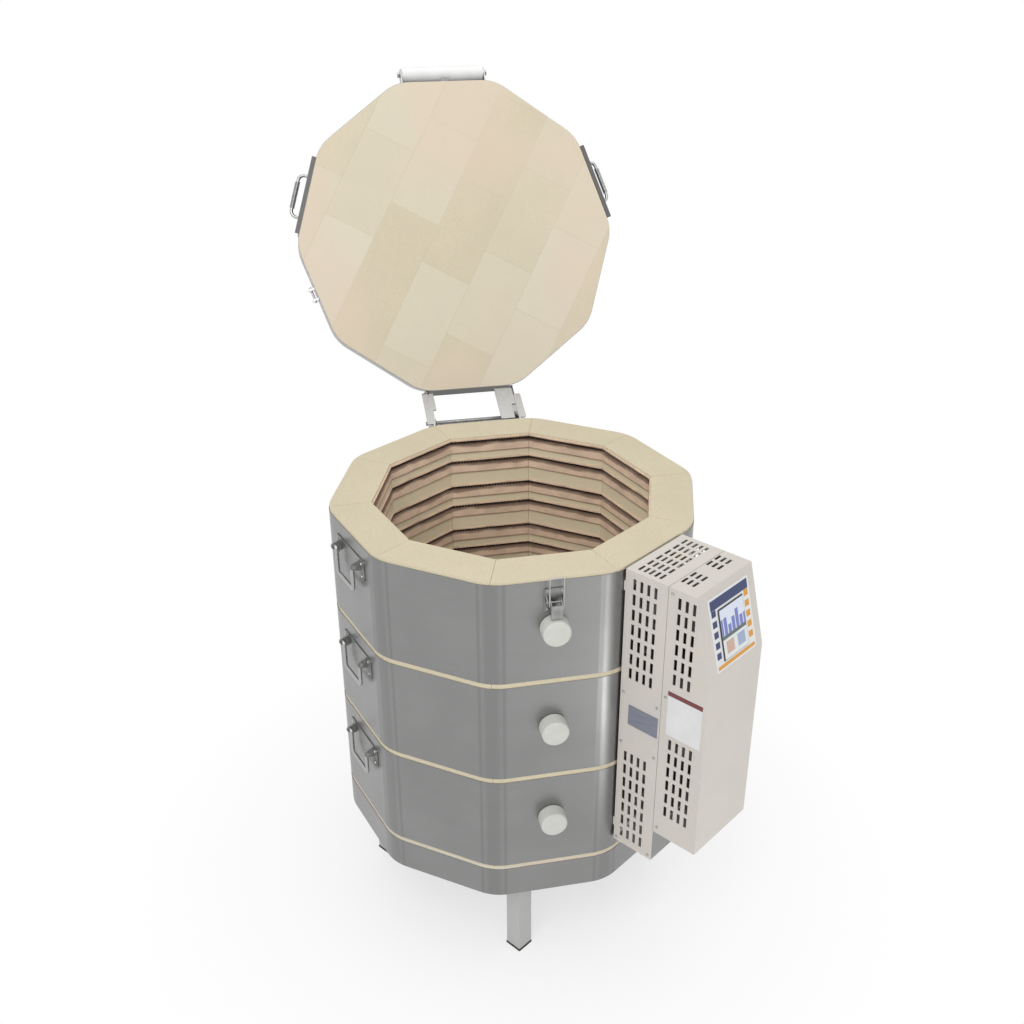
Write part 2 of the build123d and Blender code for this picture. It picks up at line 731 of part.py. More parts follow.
# Drop handles: a plate with two ears on opposite sides of each section, and a bail in each
ear_middle = handle_ear_gap / 2 + handle_ear_gauge / 2
pivot_distance = seat_face + handle_plate_gauge + handle_pivot_reach
handle_tops = [chamber_floor + (index + 1) * section_height - handle_drop for index in range(len(section_names))]
with BuildPart() as handle_bases:
    for pivot_height in handle_tops:
        for angle in section_handle_angles:
            with BuildSketch(face_plane(angle, seat_face, pivot_height - handle_plate_gauge * 3)):
                RectangleRounded(*handle_plate, 8)
            extrude(amount=handle_plate_gauge)
            for side_sign in (-1, 1):
                with BuildSketch(profile_plane(angle, side_sign * ear_middle, pivot_height)):
                    with Locations((pivot_distance, 0)):
                        Circle(handle_ear_radius)
                    with Locations((seat_face, 0)):
                        Rectangle(handle_plate_gauge, handle_ear_radius * 3, align=(Align.MIN, Align.CENTER))
                    make_hull()
                    with Locations((pivot_distance, 0)):
                        Circle(bail_radius + bail_fit, mode=Mode.SUBTRACT)
                extrude(amount=handle_ear_gauge / 2, both=True)
pieces["handle_bases"] = handle_bases

for section, pivot_height in zip(section_names, handle_tops):
    for name, angle in zip(("left", "right"), section_handle_angles):
        with BuildPart() as bail:
            half = bail_width / 2
            end = handle_ear_gap / 2 + handle_ear_gauge * 1.5
            with BuildLine(face_plane(angle, pivot_distance, pivot_height)) as bend:
                FilletPolyline(
                    (-end, 0), (-half, 0), (-half, -bail_drop), (half, -bail_drop), (half, 0), (end, 0),
                    radius=bail_bend,
                )
            with BuildSketch(Plane(origin=bend.wire() @ 0, z_dir=bend.wire() % 0)):
                Circle(bail_radius)
            sweep(path=bend.wire())
        pieces["handle_bail_" + section + "_" + name] = bail

# Latch: base with two ears, lever and wire loop on the body, keeper on the lid
latch_distance = seat_face + latch_gauge + latch_pivot_reach
latch_height = rim_height - latch_drop
with BuildPart() as latch_base:
    with BuildSketch(face_plane(0, seat_face, latch_height)):
        RectangleRounded(*latch_plate, 3)
    extrude(amount=latch_gauge)
    for side_sign in (-1, 1):
        with BuildSketch(profile_plane(0, side_sign * (latch_ear_gap + latch_gauge) / 2, latch_height)):
            with Locations((latch_distance, 0)):
                Circle(latch_ear_radius)
            with Locations((seat_face, 0)):
                Rectangle(latch_gauge, latch_plate[1] * 0.5, align=(Align.MIN, Align.CENTER))
            make_hull()
            with Locations((latch_distance, 0)):
                Circle(latch_pivot_radius, mode=Mode.SUBTRACT)
        extrude(amount=latch_gauge / 2, both=True)
    with BuildSketch(profile_plane(0, 0, latch_height)):
        with Locations((latch_distance, 0)):
            Circle(latch_pivot_radius)
    extrude(amount=latch_ear_gap / 2 + latch_gauge * 1.5, both=True)
pieces["latch_base"] = latch_base

# The loop turns in the lever outside and below the lever's own pin, so throwing the lever up lets it out
loop_pivot_height = latch_height - loop_pivot_below
loop_distance = latch_distance + loop_pivot_out
grip_face = loop_distance + loop_boss
with BuildPart() as latch_lever:
    for side_sign in (-1, 1):
        cheek = side_sign * (latch_lever_width / 2 - latch_gauge / 2)
        with BuildSketch(profile_plane(0, cheek, latch_height)):
            with Locations((latch_distance, 0)):
                Circle(latch_ear_radius)
            with Locations((loop_distance, -loop_pivot_below)):
                Circle(loop_boss)
            with Locations((grip_face, -latch_lever_length)):
                Rectangle(latch_gauge, latch_lever_length - latch_gauge, align=(Align.MAX, Align.MIN))
            make_hull()
            with Locations((latch_distance, 0)):
                Circle(latch_pivot_radius + running_fit, mode=Mode.SUBTRACT)
            with Locations((loop_distance, -loop_pivot_below)):
                Circle(loop_wire + running_fit, mode=Mode.SUBTRACT)
        extrude(amount=latch_gauge / 2, both=True)
    with BuildSketch(face_plane(0, grip_face, latch_height - latch_lever_length)):
        Rectangle(latch_lever_width, latch_lever_length - latch_gauge, align=(Align.CENTER, Align.MIN))
    extrude(amount=latch_gauge)
pieces["latch_lever"] = latch_lever

with BuildPart() as latch_loop:
    loop_rise = rim_height + loop_top - loop_pivot_height
    inner_end = latch_lever_width / 2 - latch_gauge * 1.5
    loop_side = latch_lever_width / 2 + loop_wire + course_seat * 2
    with BuildLine(face_plane(0, loop_distance, loop_pivot_height)) as bend:
        FilletPolyline(
            (-inner_end, 0), (-loop_side, 0), (-loop_side, loop_rise),
            (loop_side, loop_rise), (loop_side, 0), (inner_end, 0),
            radius=loop_wire + course_seat / 2,
        )
    with BuildSketch(Plane(origin=bend.wire() @ 0, z_dir=bend.wire() % 0)):
        Circle(loop_wire)
    sweep(path=bend.wire())
pieces["latch_loop"] = latch_loop

with BuildPart() as lid_keeper:
    with BuildSketch(on_lid(profile_plane(0, 0, lid_bottom))):
        with Locations((lid_outside, keeper_lift)):
            Rectangle(latch_gauge, keeper_rise * 1.25, align=(Align.MIN, Align.MIN))
            Rectangle(keeper_reach, latch_gauge, align=(Align.MIN, Align.MIN))
        with Locations((lid_outside + keeper_reach - latch_gauge, keeper_lift)):
            Rectangle(latch_gauge, keeper_rise * 0.6, align=(Align.MIN, Align.MIN))
    extrude(amount=keeper_width / 2, both=True)
pieces["latch_keeper"] = lid_keeper

# Control housings. Places are given outwards from the jacket, along the side and below the rim.
housing_back = jacket_outside + control_standoff
terminal_front = housing_back + terminal_depth
control_back = terminal_front + housing_gap
control_left = control_offset - control_width / 2
control_right = control_offset + control_width / 2
control_face = control_back + control_full_depth
control_top_face = control_back + control_top_depth
control_top = rim_height - control_top_drop
control_bottom = rim_height - control_bottom_drop
slope_foot = rim_height - control_slope_drop
slope_run = control_full_depth - control_top_depth
slope_rise = control_slope_drop - control_top_drop
slope_angle = math.atan2(slope_run, slope_rise)


def side_vents(columns, rows, from_back, top_drop):
    """Cuts for upright slots through both side walls of a housing."""
    with BuildPart() as cuts:
        for side_sign in (-1, 1):
            middle = control_offset + side_sign * control_width / 2
            origin = along(control_angle) * middle + outward(control_angle) * (housing_back + from_back)
            height = rim_height - top_drop - ((rows - 1) * vent_pitch[1] + vent_slot[1]) / 2
            wall = Plane(origin=origin + Vector(0, 0, height), x_dir=outward(control_angle), z_dir=-along(control_angle))
            with BuildSketch(wall):
                with GridLocations(vent_pitch[0], vent_pitch[1], columns, rows):
                    Rectangle(*vent_slot)
            extrude(amount=sheet * 2, both=True)
    return cuts.part


def top_vents(columns, rows, from_back, from_middle):
    """Cuts for slots through the top of a housing."""
    centre = outward(control_angle) * (housing_back + from_back)
    centre += along(control_angle) * (control_offset + from_middle) + Vector(0, 0, control_top)
    with BuildPart() as cuts:
        with BuildSketch(Plane(origin=centre, x_dir=along(control_angle), z_dir=(0, 0, 1))):
            with GridLocations(top_pitch[0], top_pitch[1], columns, rows):
                Rectangle(*top_slot)
        extrude(amount=sheet * 2, both=True)
    return cuts.part


with BuildPart() as terminal_box:
    with BuildSketch(face_plane(control_angle, housing_back, 0)):
        with Locations((control_offset, (control_top + rim_height - terminal_bottom_drop) / 2)):
            terminal_height = terminal_bottom_drop - control_top_drop
            Rectangle(control_width, terminal_height)
            Rectangle(control_width - sheet * 2, terminal_height - sheet * 2, mode=Mode.SUBTRACT)
    extrude(amount=terminal_depth)
    with BuildSketch(face_plane(control_angle, seat_face, rim_height)):
        with Locations(*[(control_offset, -drop) for drop in strap_drops]):
            Rectangle(control_width, strap_height)
    extrude(amount=housing_back + sheet - seat_face)
    add(side_vents(4, 7, 45, 16), mode=Mode.SUBTRACT)
    add(side_vents(4, 7, 43, terminal_bottom_drop - 240), mode=Mode.SUBTRACT)
    add(top_vents(6, 5, 44, 0), mode=Mode.SUBTRACT)
    gland_centre = outward(control_angle) * (housing_back + terminal_depth / 2)
    gland_centre += along(control_angle) * (control_offset + control_width / 4)
    gland_top = rim_height - terminal_bottom_drop + sheet
    with BuildSketch(Plane(origin=gland_centre + Vector(0, 0, gland_top), z_dir=(0, 0, -1))):
        Circle(gland_bore + running_fit)
    extrude(amount=sheet * 2, mode=Mode.SUBTRACT)
pieces["terminal_box"] = terminal_box

with BuildPart() as cord_gland:
    with BuildSketch(Plane(origin=gland_centre + Vector(0, 0, gland_top - sheet), z_dir=(0, 0, -1))):
        RegularPolygon(gland_radius, 6)
        Circle(gland_bore, mode=Mode.SUBTRACT)
    extrude(amount=gland_length)
pieces["cord_gland"] = cord_gland

with BuildPart() as heat_baffle:
    with BuildSketch(face_plane(control_angle, terminal_front - baffle_gauge, 0)):
        with Locations((control_offset, (control_top + rim_height - terminal_bottom_drop) / 2)):
            Rectangle(control_width - (sheet + course_seat) * 2, terminal_height - (sheet + course_seat) * 2)
    extrude(amount=baffle_gauge)
pieces["heat_baffle"] = heat_baffle


def control_profile(inset):
    """Side outline of the control box, drawn in from its walls but not from its open back."""
    slant = inset / math.cos(slope_angle)
    turn = inset * math.tan(slope_angle)
    return [
        (control_back, control_bottom + inset),
        (control_back, control_top - inset),
        (control_top_face - slant + turn, control_top - inset),
        (control_face - inset, slope_foot - slant * math.sin(slope_angle) / 2),
        (control_face - inset, control_bottom + inset),
    ]


# The sloped front plane: x to the right, y up the slope, z outwards
slope_middle = outward(control_angle) * (control_top_face + slope_run / 2)
slope_middle += along(control_angle) * control_offset + Vector(0, 0, (control_top + slope_foot) / 2)
slope_normal = outward(control_angle) * math.cos(slope_angle) + Vector(0, 0, math.sin(slope_angle))
slope_length = math.hypot(slope_run, slope_rise)


def slope_plane(rise):
    """Plane on the sloped front, standing off it by this much."""
    return Plane(origin=slope_middle + slope_normal * rise, x_dir=along(control_angle), z_dir=slope_normal)


screen_place = (4.0, slope_length / 2 - screen_drop)
overlay_place = (4.0, slope_length / 2 - overlay_drop)

with BuildPart() as control_box:
    with BuildSketch(profile_plane(control_angle, control_offset)):
        Polygon(*control_profile(0.0), align=None)
    extrude(amount=control_width / 2, both=True)
    with BuildSketch(profile_plane(control_angle, control_offset)):
        Polygon(*control_profile(sheet), align=None)
    extrude(amount=control_width / 2 - sheet, both=True, mode=Mode.SUBTRACT)
    add(side_vents(3, 6, 138, 16), mode=Mode.SUBTRACT)
    add(side_vents(4, 6, 146, control_bottom_drop - 243), mode=Mode.SUBTRACT)
    add(top_vents(2, 3, 116, -37), mode=Mode.SUBTRACT)
    add(top_vents(2, 3, 114, 45), mode=Mode.SUBTRACT)
    with BuildSketch(slope_plane(0)):
        with Locations(screen_place):
            Rectangle(screen_size[0] + course_seat * 2, screen_size[1] + course_seat * 2)
    extrude(amount=sheet * 2, both=True, mode=Mode.SUBTRACT)
pieces["control_box"] = control_box

with BuildPart() as front_overlay:
    with BuildSketch(slope_plane(0)):
        with Locations(overlay_place):
            RectangleRounded(*overlay_size, 4)
        with Locations(screen_place):
            Rectangle(screen_size[0] + course_seat * 2, screen_size[1] + course_seat * 2, mode=Mode.SUBTRACT)
    extrude(amount=overlay_gauge)
pieces["control_overlay"] = front_overlay

with BuildPart() as screen:
    with BuildSketch(slope_plane(-screen_depth)):
        with Locations(screen_place):
            Rectangle(*screen_size)
    extrude(amount=screen_depth + screen_rise)
    chamfer(screen.faces().sort_by(Axis(slope_middle, slope_normal))[-1].edges(), 1)
pieces["touch_screen"] = screen

with BuildPart() as circuit_board:
    with BuildSketch(slope_plane(-screen_depth - board_spacing)):
        with Locations(screen_place):
            Rectangle(board_size[0], board_size[1])
    extrude(amount=board_size[2])
    with BuildSketch(slope_plane(-screen_depth - board_spacing)):
        with Locations(screen_place):
            with GridLocations(screen_size[0] * 0.8, screen_size[1] * 0.8, 2, 2):
                Circle(3)
    extrude(amount=board_spacing)
pieces["circuit_board"] = circuit_board

inner_face = control_face - sheet
with BuildPart() as relays:
    with BuildSketch(face_plane(control_angle, inner_face - relay_size[2], slope_foot - relay_pitch * 0.75)):
        with Locations((control_offset, -relay_pitch)):
            with GridLocations(relay_pitch, relay_pitch, 2, 3):
                RectangleRounded(relay_size[0], relay_size[1], 3)
    extrude(amount=relay_size[2])
pieces["power_relays"] = relays

with BuildPart() as transformer:
    with BuildSketch(face_plane(control_angle, inner_face - transformer_size[2], control_bottom + 110)):
        with Locations((control_offset - control_width / 4, 0)):
            Rectangle(transformer_size[0], transformer_size[1])
    extrude(amount=transformer_size[2])
    chamfer(transformer.edges().filter_by(Axis.Z), 4)
pieces["transformer"] = transformer

with BuildPart() as power_block:
    with BuildSketch(face_plane(control_angle, inner_face - power_block_size[2], control_bottom + 45)):
        with Locations((control_offset + control_width / 8, 0)):
            Rectangle(power_block_size[0], power_block_size[1])
    extrude(amount=power_block_size[2])
    with BuildSketch(face_plane(control_angle, inner_face - power_block_size[2], control_bottom + 45)):
        with Locations((control_offset + control_width / 8, 0)):
            with GridLocations(power_block_size[0] / 3, 0, 3, 1):
                Rectangle(power_block_size[0] / 5, power_block_size[1] + 1)
    extrude(amount=power_block_size[2] / 3, mode=Mode.SUBTRACT)
pieces["power_terminal_block"] = power_block

# Upright piano hinge of the control box, on its right-hand rear edge
hinge_axis = along(control_angle) * (control_right + box_hinge_knuckle + course_seat)
hinge_axis += outward(control_angle) * (control_back - housing_gap / 2)
box_hinge_low = (control_top + control_bottom) / 2 - box_hinge_length / 2
knuckle_length = box_hinge_length / box_hinge_knuckles


def hinge_leaf(first, away):
    """One leaf with every second knuckle, from the first on; away is 1 for the moving side."""
    side_plane = Plane(
        origin=along(control_angle) * (control_right + course_seat), x_dir=outward(control_angle),
        z_dir=-along(control_angle),
    )
    leaf_start = box_hinge_knuckle + course_seat * 2
    tab_length = leaf_start + box_hinge_leaf_gauge
    with BuildPart() as leaf:
        with BuildSketch(side_plane):
            leaf_middle = control_back - housing_gap / 2 + away * (leaf_start + box_hinge_leaf / 2)
            with Locations((leaf_middle, box_hinge_low + box_hinge_length / 2)):
                Rectangle(box_hinge_leaf, box_hinge_length)
        extrude(amount=-box_hinge_leaf_gauge)
        for knuckle in range(first, box_hinge_knuckles, 2):
            low = box_hinge_low + knuckle * knuckle_length + course_seat
            with BuildSketch(Plane(origin=hinge_axis + Vector(0, 0, low), x_dir=outward(control_angle), z_dir=(0, 0, 1))):
                Circle(box_hinge_knuckle)
                with Locations((away * tab_length / 2, -box_hinge_knuckle)):
                    Rectangle(tab_length, box_hinge_leaf_gauge, align=(Align.CENTER, Align.MIN))
                Circle(box_hinge_pin_radius + running_fit, mode=Mode.SUBTRACT)
            extrude(amount=knuckle_length - course_seat * 2)
    return leaf


pieces["control_hinge_fixed_leaf"] = hinge_leaf(0, -1)
pieces["control_hinge_moving_leaf"] = hinge_leaf(1, 1)

with BuildPart() as box_hinge_pin:
    with BuildSketch(Plane(origin=hinge_axis + Vector(0, 0, box_hinge_low), z_dir=(0, 0, 1))):
        Circle(box_hinge_pin_radius)
    extrude(amount=box_hinge_length)
pieces["control_hinge_pin"] = box_hinge_pin

os.makedirs("parts", exist_ok=True)
for name, piece in pieces.items():
    piece.part.label = name
    export_step(piece.part, "parts/" + name + ".step")
print(len(pieces), "pieces")
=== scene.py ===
import json
import math
import random

import bmesh
import bpy
from mathutils import Matrix, Vector, geometry

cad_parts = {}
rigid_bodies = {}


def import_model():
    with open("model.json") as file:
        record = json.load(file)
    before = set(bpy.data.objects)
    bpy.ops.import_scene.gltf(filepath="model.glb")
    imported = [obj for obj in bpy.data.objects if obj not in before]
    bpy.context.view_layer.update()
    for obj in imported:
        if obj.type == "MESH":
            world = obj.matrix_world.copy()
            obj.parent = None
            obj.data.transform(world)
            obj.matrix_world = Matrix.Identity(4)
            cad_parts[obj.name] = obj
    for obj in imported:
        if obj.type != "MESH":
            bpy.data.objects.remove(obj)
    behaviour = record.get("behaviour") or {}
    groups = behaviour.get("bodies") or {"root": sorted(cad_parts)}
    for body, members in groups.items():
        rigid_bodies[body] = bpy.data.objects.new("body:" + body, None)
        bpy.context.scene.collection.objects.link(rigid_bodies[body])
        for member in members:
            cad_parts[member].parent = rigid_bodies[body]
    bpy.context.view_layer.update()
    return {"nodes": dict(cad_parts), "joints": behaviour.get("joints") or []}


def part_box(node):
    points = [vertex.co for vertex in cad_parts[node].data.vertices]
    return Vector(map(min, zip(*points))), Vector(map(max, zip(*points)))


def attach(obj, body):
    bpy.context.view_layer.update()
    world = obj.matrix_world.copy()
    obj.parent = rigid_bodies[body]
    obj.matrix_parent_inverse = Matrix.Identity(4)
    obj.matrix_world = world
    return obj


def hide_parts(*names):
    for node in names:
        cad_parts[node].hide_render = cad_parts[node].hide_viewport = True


bl_info = {
    "name": "Production kiln",
    "version": (1, 0, 0),
    "blender": (4, 5, 0),
    "location": "3D View > Sidebar > Kiln",
    "description": "Finishes and fine parts for a ten-sided top-loading kiln",
    "category": "Object",
}

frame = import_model()

SIDES = 10
SECTIONS = ("bottom", "middle", "top")
CONTROL_ANGLE = 36.0
LID_HANDLE_ANGLES = (-72.0, 72.0)
SECTION_HANDLE_ANGLES = (-72.0, 108.0)
LID_HINGE = next(joint for joint in frame["joints"] if joint["name"] == "lid_hinge")
HINGE = Vector(LID_HINGE["pos_m"])
LID_OPEN = math.radians(LID_HINGE["range_deg"][1])

# Sizes of the CAD that its boxes don't give
CHAMBER_APOTHEM = 0.28415
ROW_DROPS = (0.013, 0.063, 0.1273, 0.1773)
COIL_DEPTH = 0.013
COIL_END_GAP = 0.014
PIN_RADIUS = 0.003
PIN_LENGTH = 0.130
SEAT = 0.0003
HANDLE_DROP = 0.052
LATCH_DROP = 0.045
PLATE_GAUGE = 0.002
LID_OVERHANG = 0.0031
LID_SEAT_GAP = 0.0005
LID_THICKNESS = 0.0762
LID_SIDE_ANGLE_GAUGE = 0.0025
LID_SIDE_HANDLE_REACH = 0.028
HINGE_PLATE_GAUGE = 0.003
BOX_STANDOFF = 0.0035
BOX_OFFSET = -0.014
BOX_WIDTH = 0.178
BOX_GAP = 0.001
TERMINAL_DEPTH = 0.096
CONTROL_TOP_DEPTH = 0.059
CONTROL_TOP_DROP = 0.001
SLOPE_RUN = 0.041
SLOPE_RISE = 0.164
SLOPE_HALF_LENGTH = 0.0845
SCREEN_ACROSS = 0.004
SCREEN_DROP = 0.098
SCREEN_RISE = 0.003
FILM_DROP = 0.091

# How far the wound coils and their pins hang below the middle of their rows
COIL_SINK = 0.00123


def rim_height():
    """Height of the top of the uppermost bricks."""
    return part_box("bricks_top")[1][2]


def section_top(name):
    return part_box("bricks_" + name)[1][2]


def jacket_apothem():
    """Distance from the chamber's axis to the outside of the jackets."""
    return -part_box("jacket_top")[0][1]


def lid_apothem():
    """Half the lid's width across its flats: the jacket's and a small overhang."""
    return jacket_apothem() + LID_OVERHANG


def lid_middle():
    """Height of the middle of the closed lid's edge."""
    return rim_height() + LID_SEAT_GAP + LID_THICKNESS / 2


def element_rows(section):
    """Heights of a section's four coils."""
    top = section_top(section)
    return [top - drop - COIL_SINK for drop in ROW_DROPS]


def outward(angle):
    """Direction square to the kiln's side at this angle from the front."""
    turn = math.radians(angle)
    return Vector((math.sin(turn), -math.cos(turn), 0.0))


def along(angle):
    """Direction along that side, to the right as seen from outside."""
    turn = math.radians(angle)
    return Vector((math.cos(turn), math.sin(turn), 0.0))


def side_frame(angle, distance, height, across=0.0):
    """Matrix of a place on a side: x to the right, y up, z outwards."""
    place = outward(angle) * distance + along(angle) * across + Vector((0, 0, height))
    return framed(place, along(angle), Vector((0, 0, 1)))


def framed(place, across, up):
    """Matrix with its x across and its y up, standing at a place."""
    out = across.cross(up).normalized()
    turn = Matrix((across.normalized(), up.normalized(), out)).transposed().to_4x4()
    return Matrix.Translation(place) @ turn


def on_lid(matrix):
    """A place on the closed lid, carried to the open lid."""
    return Matrix.Translation(HINGE) @ Matrix.Rotation(-LID_OPEN, 4, "X") @ Matrix.Translation(-HINGE) @ matrix


# Node trees


class Reading:
    """One output of a node, with arithmetic that adds Math nodes."""

    def __init__(self, sheet, socket):
        self.sheet = sheet
        self.socket = socket

    def math(self, operation, *others):
        values = dict(enumerate((self,) + others))
        return self.sheet.add("ShaderNodeMath", {"operation": operation}, values)["Value"]

    def __add__(self, other):
        return self.math("ADD", other)

    __radd__ = __add__

    def __mul__(self, other):
        return self.math("MULTIPLY", other)

    __rmul__ = __mul__

    def __sub__(self, other):
        return self.math("SUBTRACT", other)

    def __rsub__(self, other):
        return (self * -1.0) + other

    def __truediv__(self, other):
        return self.math("DIVIDE", other)

    def __abs__(self):
        return self.math("ABSOLUTE")

    def between(self, low, high, to_low=0.0, to_high=1.0):
        """Spread from one range to another, clamped."""
        values = {"Value": self, "From Min": low, "From Max": high, "To Min": to_low, "To Max": to_high}
        return self.sheet.add("ShaderNodeMapRange", {"clamp": True}, values)["Result"]

    def within(self, middle, half, soft=0.0004):
        """1 inside a band and 0 outside it."""
        return abs(self - middle).between(half + soft, half)


class Added:
    """A node that a sheet has added; its outputs are read by name or number."""

    def __init__(self, sheet, node):
        self.sheet = sheet
        self.node = node

    def __getitem__(self, name):
        return Reading(self.sheet, self.node.outputs[name])


class Sheet:
    """A node tree, emptied first. Its nodes come from add, which the other methods call."""

    def __init__(self, tree):
        tree.nodes.clear()
        self.tree = tree

    def add(self, kind, settings=None, values=None):
        """Adds a node with its settings and the values or links of its sockets."""
        node = self.tree.nodes.new(kind)
        for name, setting in (settings or {}).items():
            setattr(node, name, setting)
        for name, value in (values or {}).items():
            socket = node.inputs[name]
            if isinstance(value, Reading):
                self.tree.links.new(value.socket, socket)
            else:
                socket.default_value = (*value, 1.0) if socket.type == "RGBA" else value
        return Added(self, node)

    def mix(self, factor, first, second):
        """Colour mixed from first to second."""
        return self.add("ShaderNodeMix", {"data_type": "RGBA"}, {0: factor, 6: first, 7: second})[2]

    def noise(self, vector, scale, detail=3.0, roughness=0.5):
        values = {"Vector": vector, "Scale": scale, "Detail": detail, "Roughness": roughness}
        return self.add("ShaderNodeTexNoise", {}, values)["Fac"]

    def stretched(self, vector, scale, turn=(0.0, 0.0, 0.0), place=(0.0, 0.0, 0.0)):
        values = {"Vector": vector, "Scale": scale, "Rotation": turn, "Location": place}
        return self.add("ShaderNodeMapping", {"vector_type": "POINT"}, values)["Vector"]

    def vector(self, operation, *values):
        """Vector Math: a number for a length or a dot product, otherwise a vector."""
        result = "Value" if operation in ("LENGTH", "DOT_PRODUCT") else "Vector"
        return self.add("ShaderNodeVectorMath", {"operation": operation}, dict(enumerate(values)))[result]

    def along(self, vector, direction):
        """How far a point lies along a direction."""
        return self.vector("DOT_PRODUCT", vector, tuple(direction))


class Finish(Sheet):
    """A material: its coordinates, its shader and its bump."""

    def __init__(self, name, colour, roughness, metallic=0.0, **fixed):
        self.material = bpy.data.materials.new(name)
        self.material.use_nodes = True
        super().__init__(self.material.node_tree)
        self.place = self.add("ShaderNodeTexCoord")["Object"]
        values = {"Base Color": colour, "Metallic": metallic, "Roughness": roughness}
        values.update((socket.replace("_", " "), value) for socket, value in fixed.items())
        self.shader = self.add("ShaderNodeBsdfPrincipled", {}, values)
        self.add("ShaderNodeOutputMaterial", {}, {"Surface": self.shader["BSDF"]})
        self.material.diffuse_color = (*colour, 1.0)

    def clouds(self, scale, detail=3.0, roughness=0.5):
        """Noise on the piece's own coordinates."""
        return self.noise(self.place, scale, detail, roughness)

    def cells(self, scale, feature="F1"):
        """Distance to the nearest of scattered points, or to the edges between their cells."""
        values = {"Vector": self.place, "Scale": scale}
        return self.add("ShaderNodeTexVoronoi", {"feature": feature}, values)["Distance"]

    def height(self):
        """Height above the floor."""
        return self.along(self.place, (0, 0, 1))

    def feed(self, socket, reading):
        """Drives one of the shader's sockets."""
        self.tree.links.new(reading.socket, self.shader.node.inputs[socket])

    def tint(self, mask, first, second, low=0.3, high=0.7):
        """Colours the surface from first to second as the mask rises."""
        self.feed("Base Color", self.mix(mask.between(low, high), first, second))

    def gloss(self, mask, low, high):
        """Spreads the roughness from low to high as the mask rises."""
        self.feed("Roughness", mask.between(0.3, 0.7, low, high))

    def bump(self, height, distance, strength):
        values = {"Height": height, "Distance": distance, "Strength": strength}
        self.feed("Normal", self.add("ShaderNodeBump", {}, values)["Normal"])


kept = {}


def once(maker):
    """What a maker function gives, made on first use and kept."""
    if maker not in kept:
        kept[maker] = maker()
    return kept[maker]


def finish(maker):
    """The material that a maker function gives."""
    return once(maker).material


# Materials


def shade(colour, factor):
    return tuple(min(1.0, channel * factor) for channel in colour)


def toned(colour, factors):
    """A colour with a factor for each channel."""
    return tuple(channel * factor for channel, factor in zip(colour, factors))


def fired_brick(name, colour, joints=None):
    """Insulating firebrick: pale and chalky with fine open pores, in a running bond where joints turn and place one.

    Without joints, the chamber's face is painted lighter than the rim and the outside: painted light that lifts the
    chamber's shade.
    """
    face = Finish(name, colour, 0.95, Specular_IOR_Level=0.15)
    grain = face.clouds(420.0, 2.0)
    pits = face.cells(260.0).between(0.10, 0.24)
    tone = face.mix(face.clouds(9.0, 4.0, 0.6).between(0.35, 0.7), shade(colour, 0.95), shade(colour, 1.05))
    tone = face.mix(grain.between(0.3, 0.75), shade(colour, 0.88), tone)
    tone = face.mix(pits, shade(colour, 0.78), tone)
    height = grain * 0.4 + pits * 0.6
    if joints:
        turned = face.stretched(face.place, (1.0, 1.0, 1.0), *joints)
        bond = face.add("ShaderNodeTexBrick", {"offset": 0.42}, {
            "Vector": turned, "Color1": (0.40, 0.40, 0.40), "Color2": (0.62, 0.62, 0.62), "Mortar": (0.0, 0.0, 0.0),
            "Scale": 1.0, "Mortar Size": 0.0007, "Mortar Smooth": 0.2, "Bias": 0.0,
            "Brick Width": 0.229, "Row Height": 0.129,
        })
        brick = face.add("ShaderNodeSeparateColor", {}, {"Color": bond["Color"]})["Red"]
        chalky = toned(colour, (1.05, 1.09, 1.20))
        rose = toned(colour, (1.05, 0.97, 1.04))
        tone = face.mix(brick.between(0.46, 0.60), tone, face.mix(0.7, tone, chalky))
        tone = face.mix(face.noise(turned, 3.2, 1.0).between(0.45, 0.6, 0.0, 0.6), tone, rose)
        tone = face.mix(bond["Fac"] * 0.12, tone, shade(colour, 0.55))
        height = height - bond["Fac"] * 0.6
    else:
        from_axis = face.vector("LENGTH", face.vector("MULTIPLY", face.place, (1.0, 1.0, 0.0)))
        below_rim = face.height().between(rim_height() - 0.0012, rim_height() - 0.0022)
        # Painted light: the chamber's face below the rim is coloured 14% lighter to lift its shade
        tone = face.mix(from_axis.between(0.330, 0.320) * below_rim, tone, shade(colour, 1.14))
    face.feed("Base Color", tone)
    face.bump(height, 0.0004, 0.5)
    return face


def wall_brick():
    return fired_brick("wall_brick", toned(settings().brick_colour, (1.04, 1.02, 0.95)))


def lid_brick():
    """The lid's bricks, in a bond that runs at an angle across the lid."""
    colour = toned(settings().brick_colour, (1.08, 1.06, 1.0))
    return fired_brick("lid_brick", colour, ((LID_OPEN, 0.0, math.radians(60.0)), (0.07, 0.031, 0.0)))


def floor_brick():
    return fired_brick("floor_brick", tuple(settings().brick_colour), ((0.0, 0.0, 0.0), (0.06, 0.02, 0.0)))


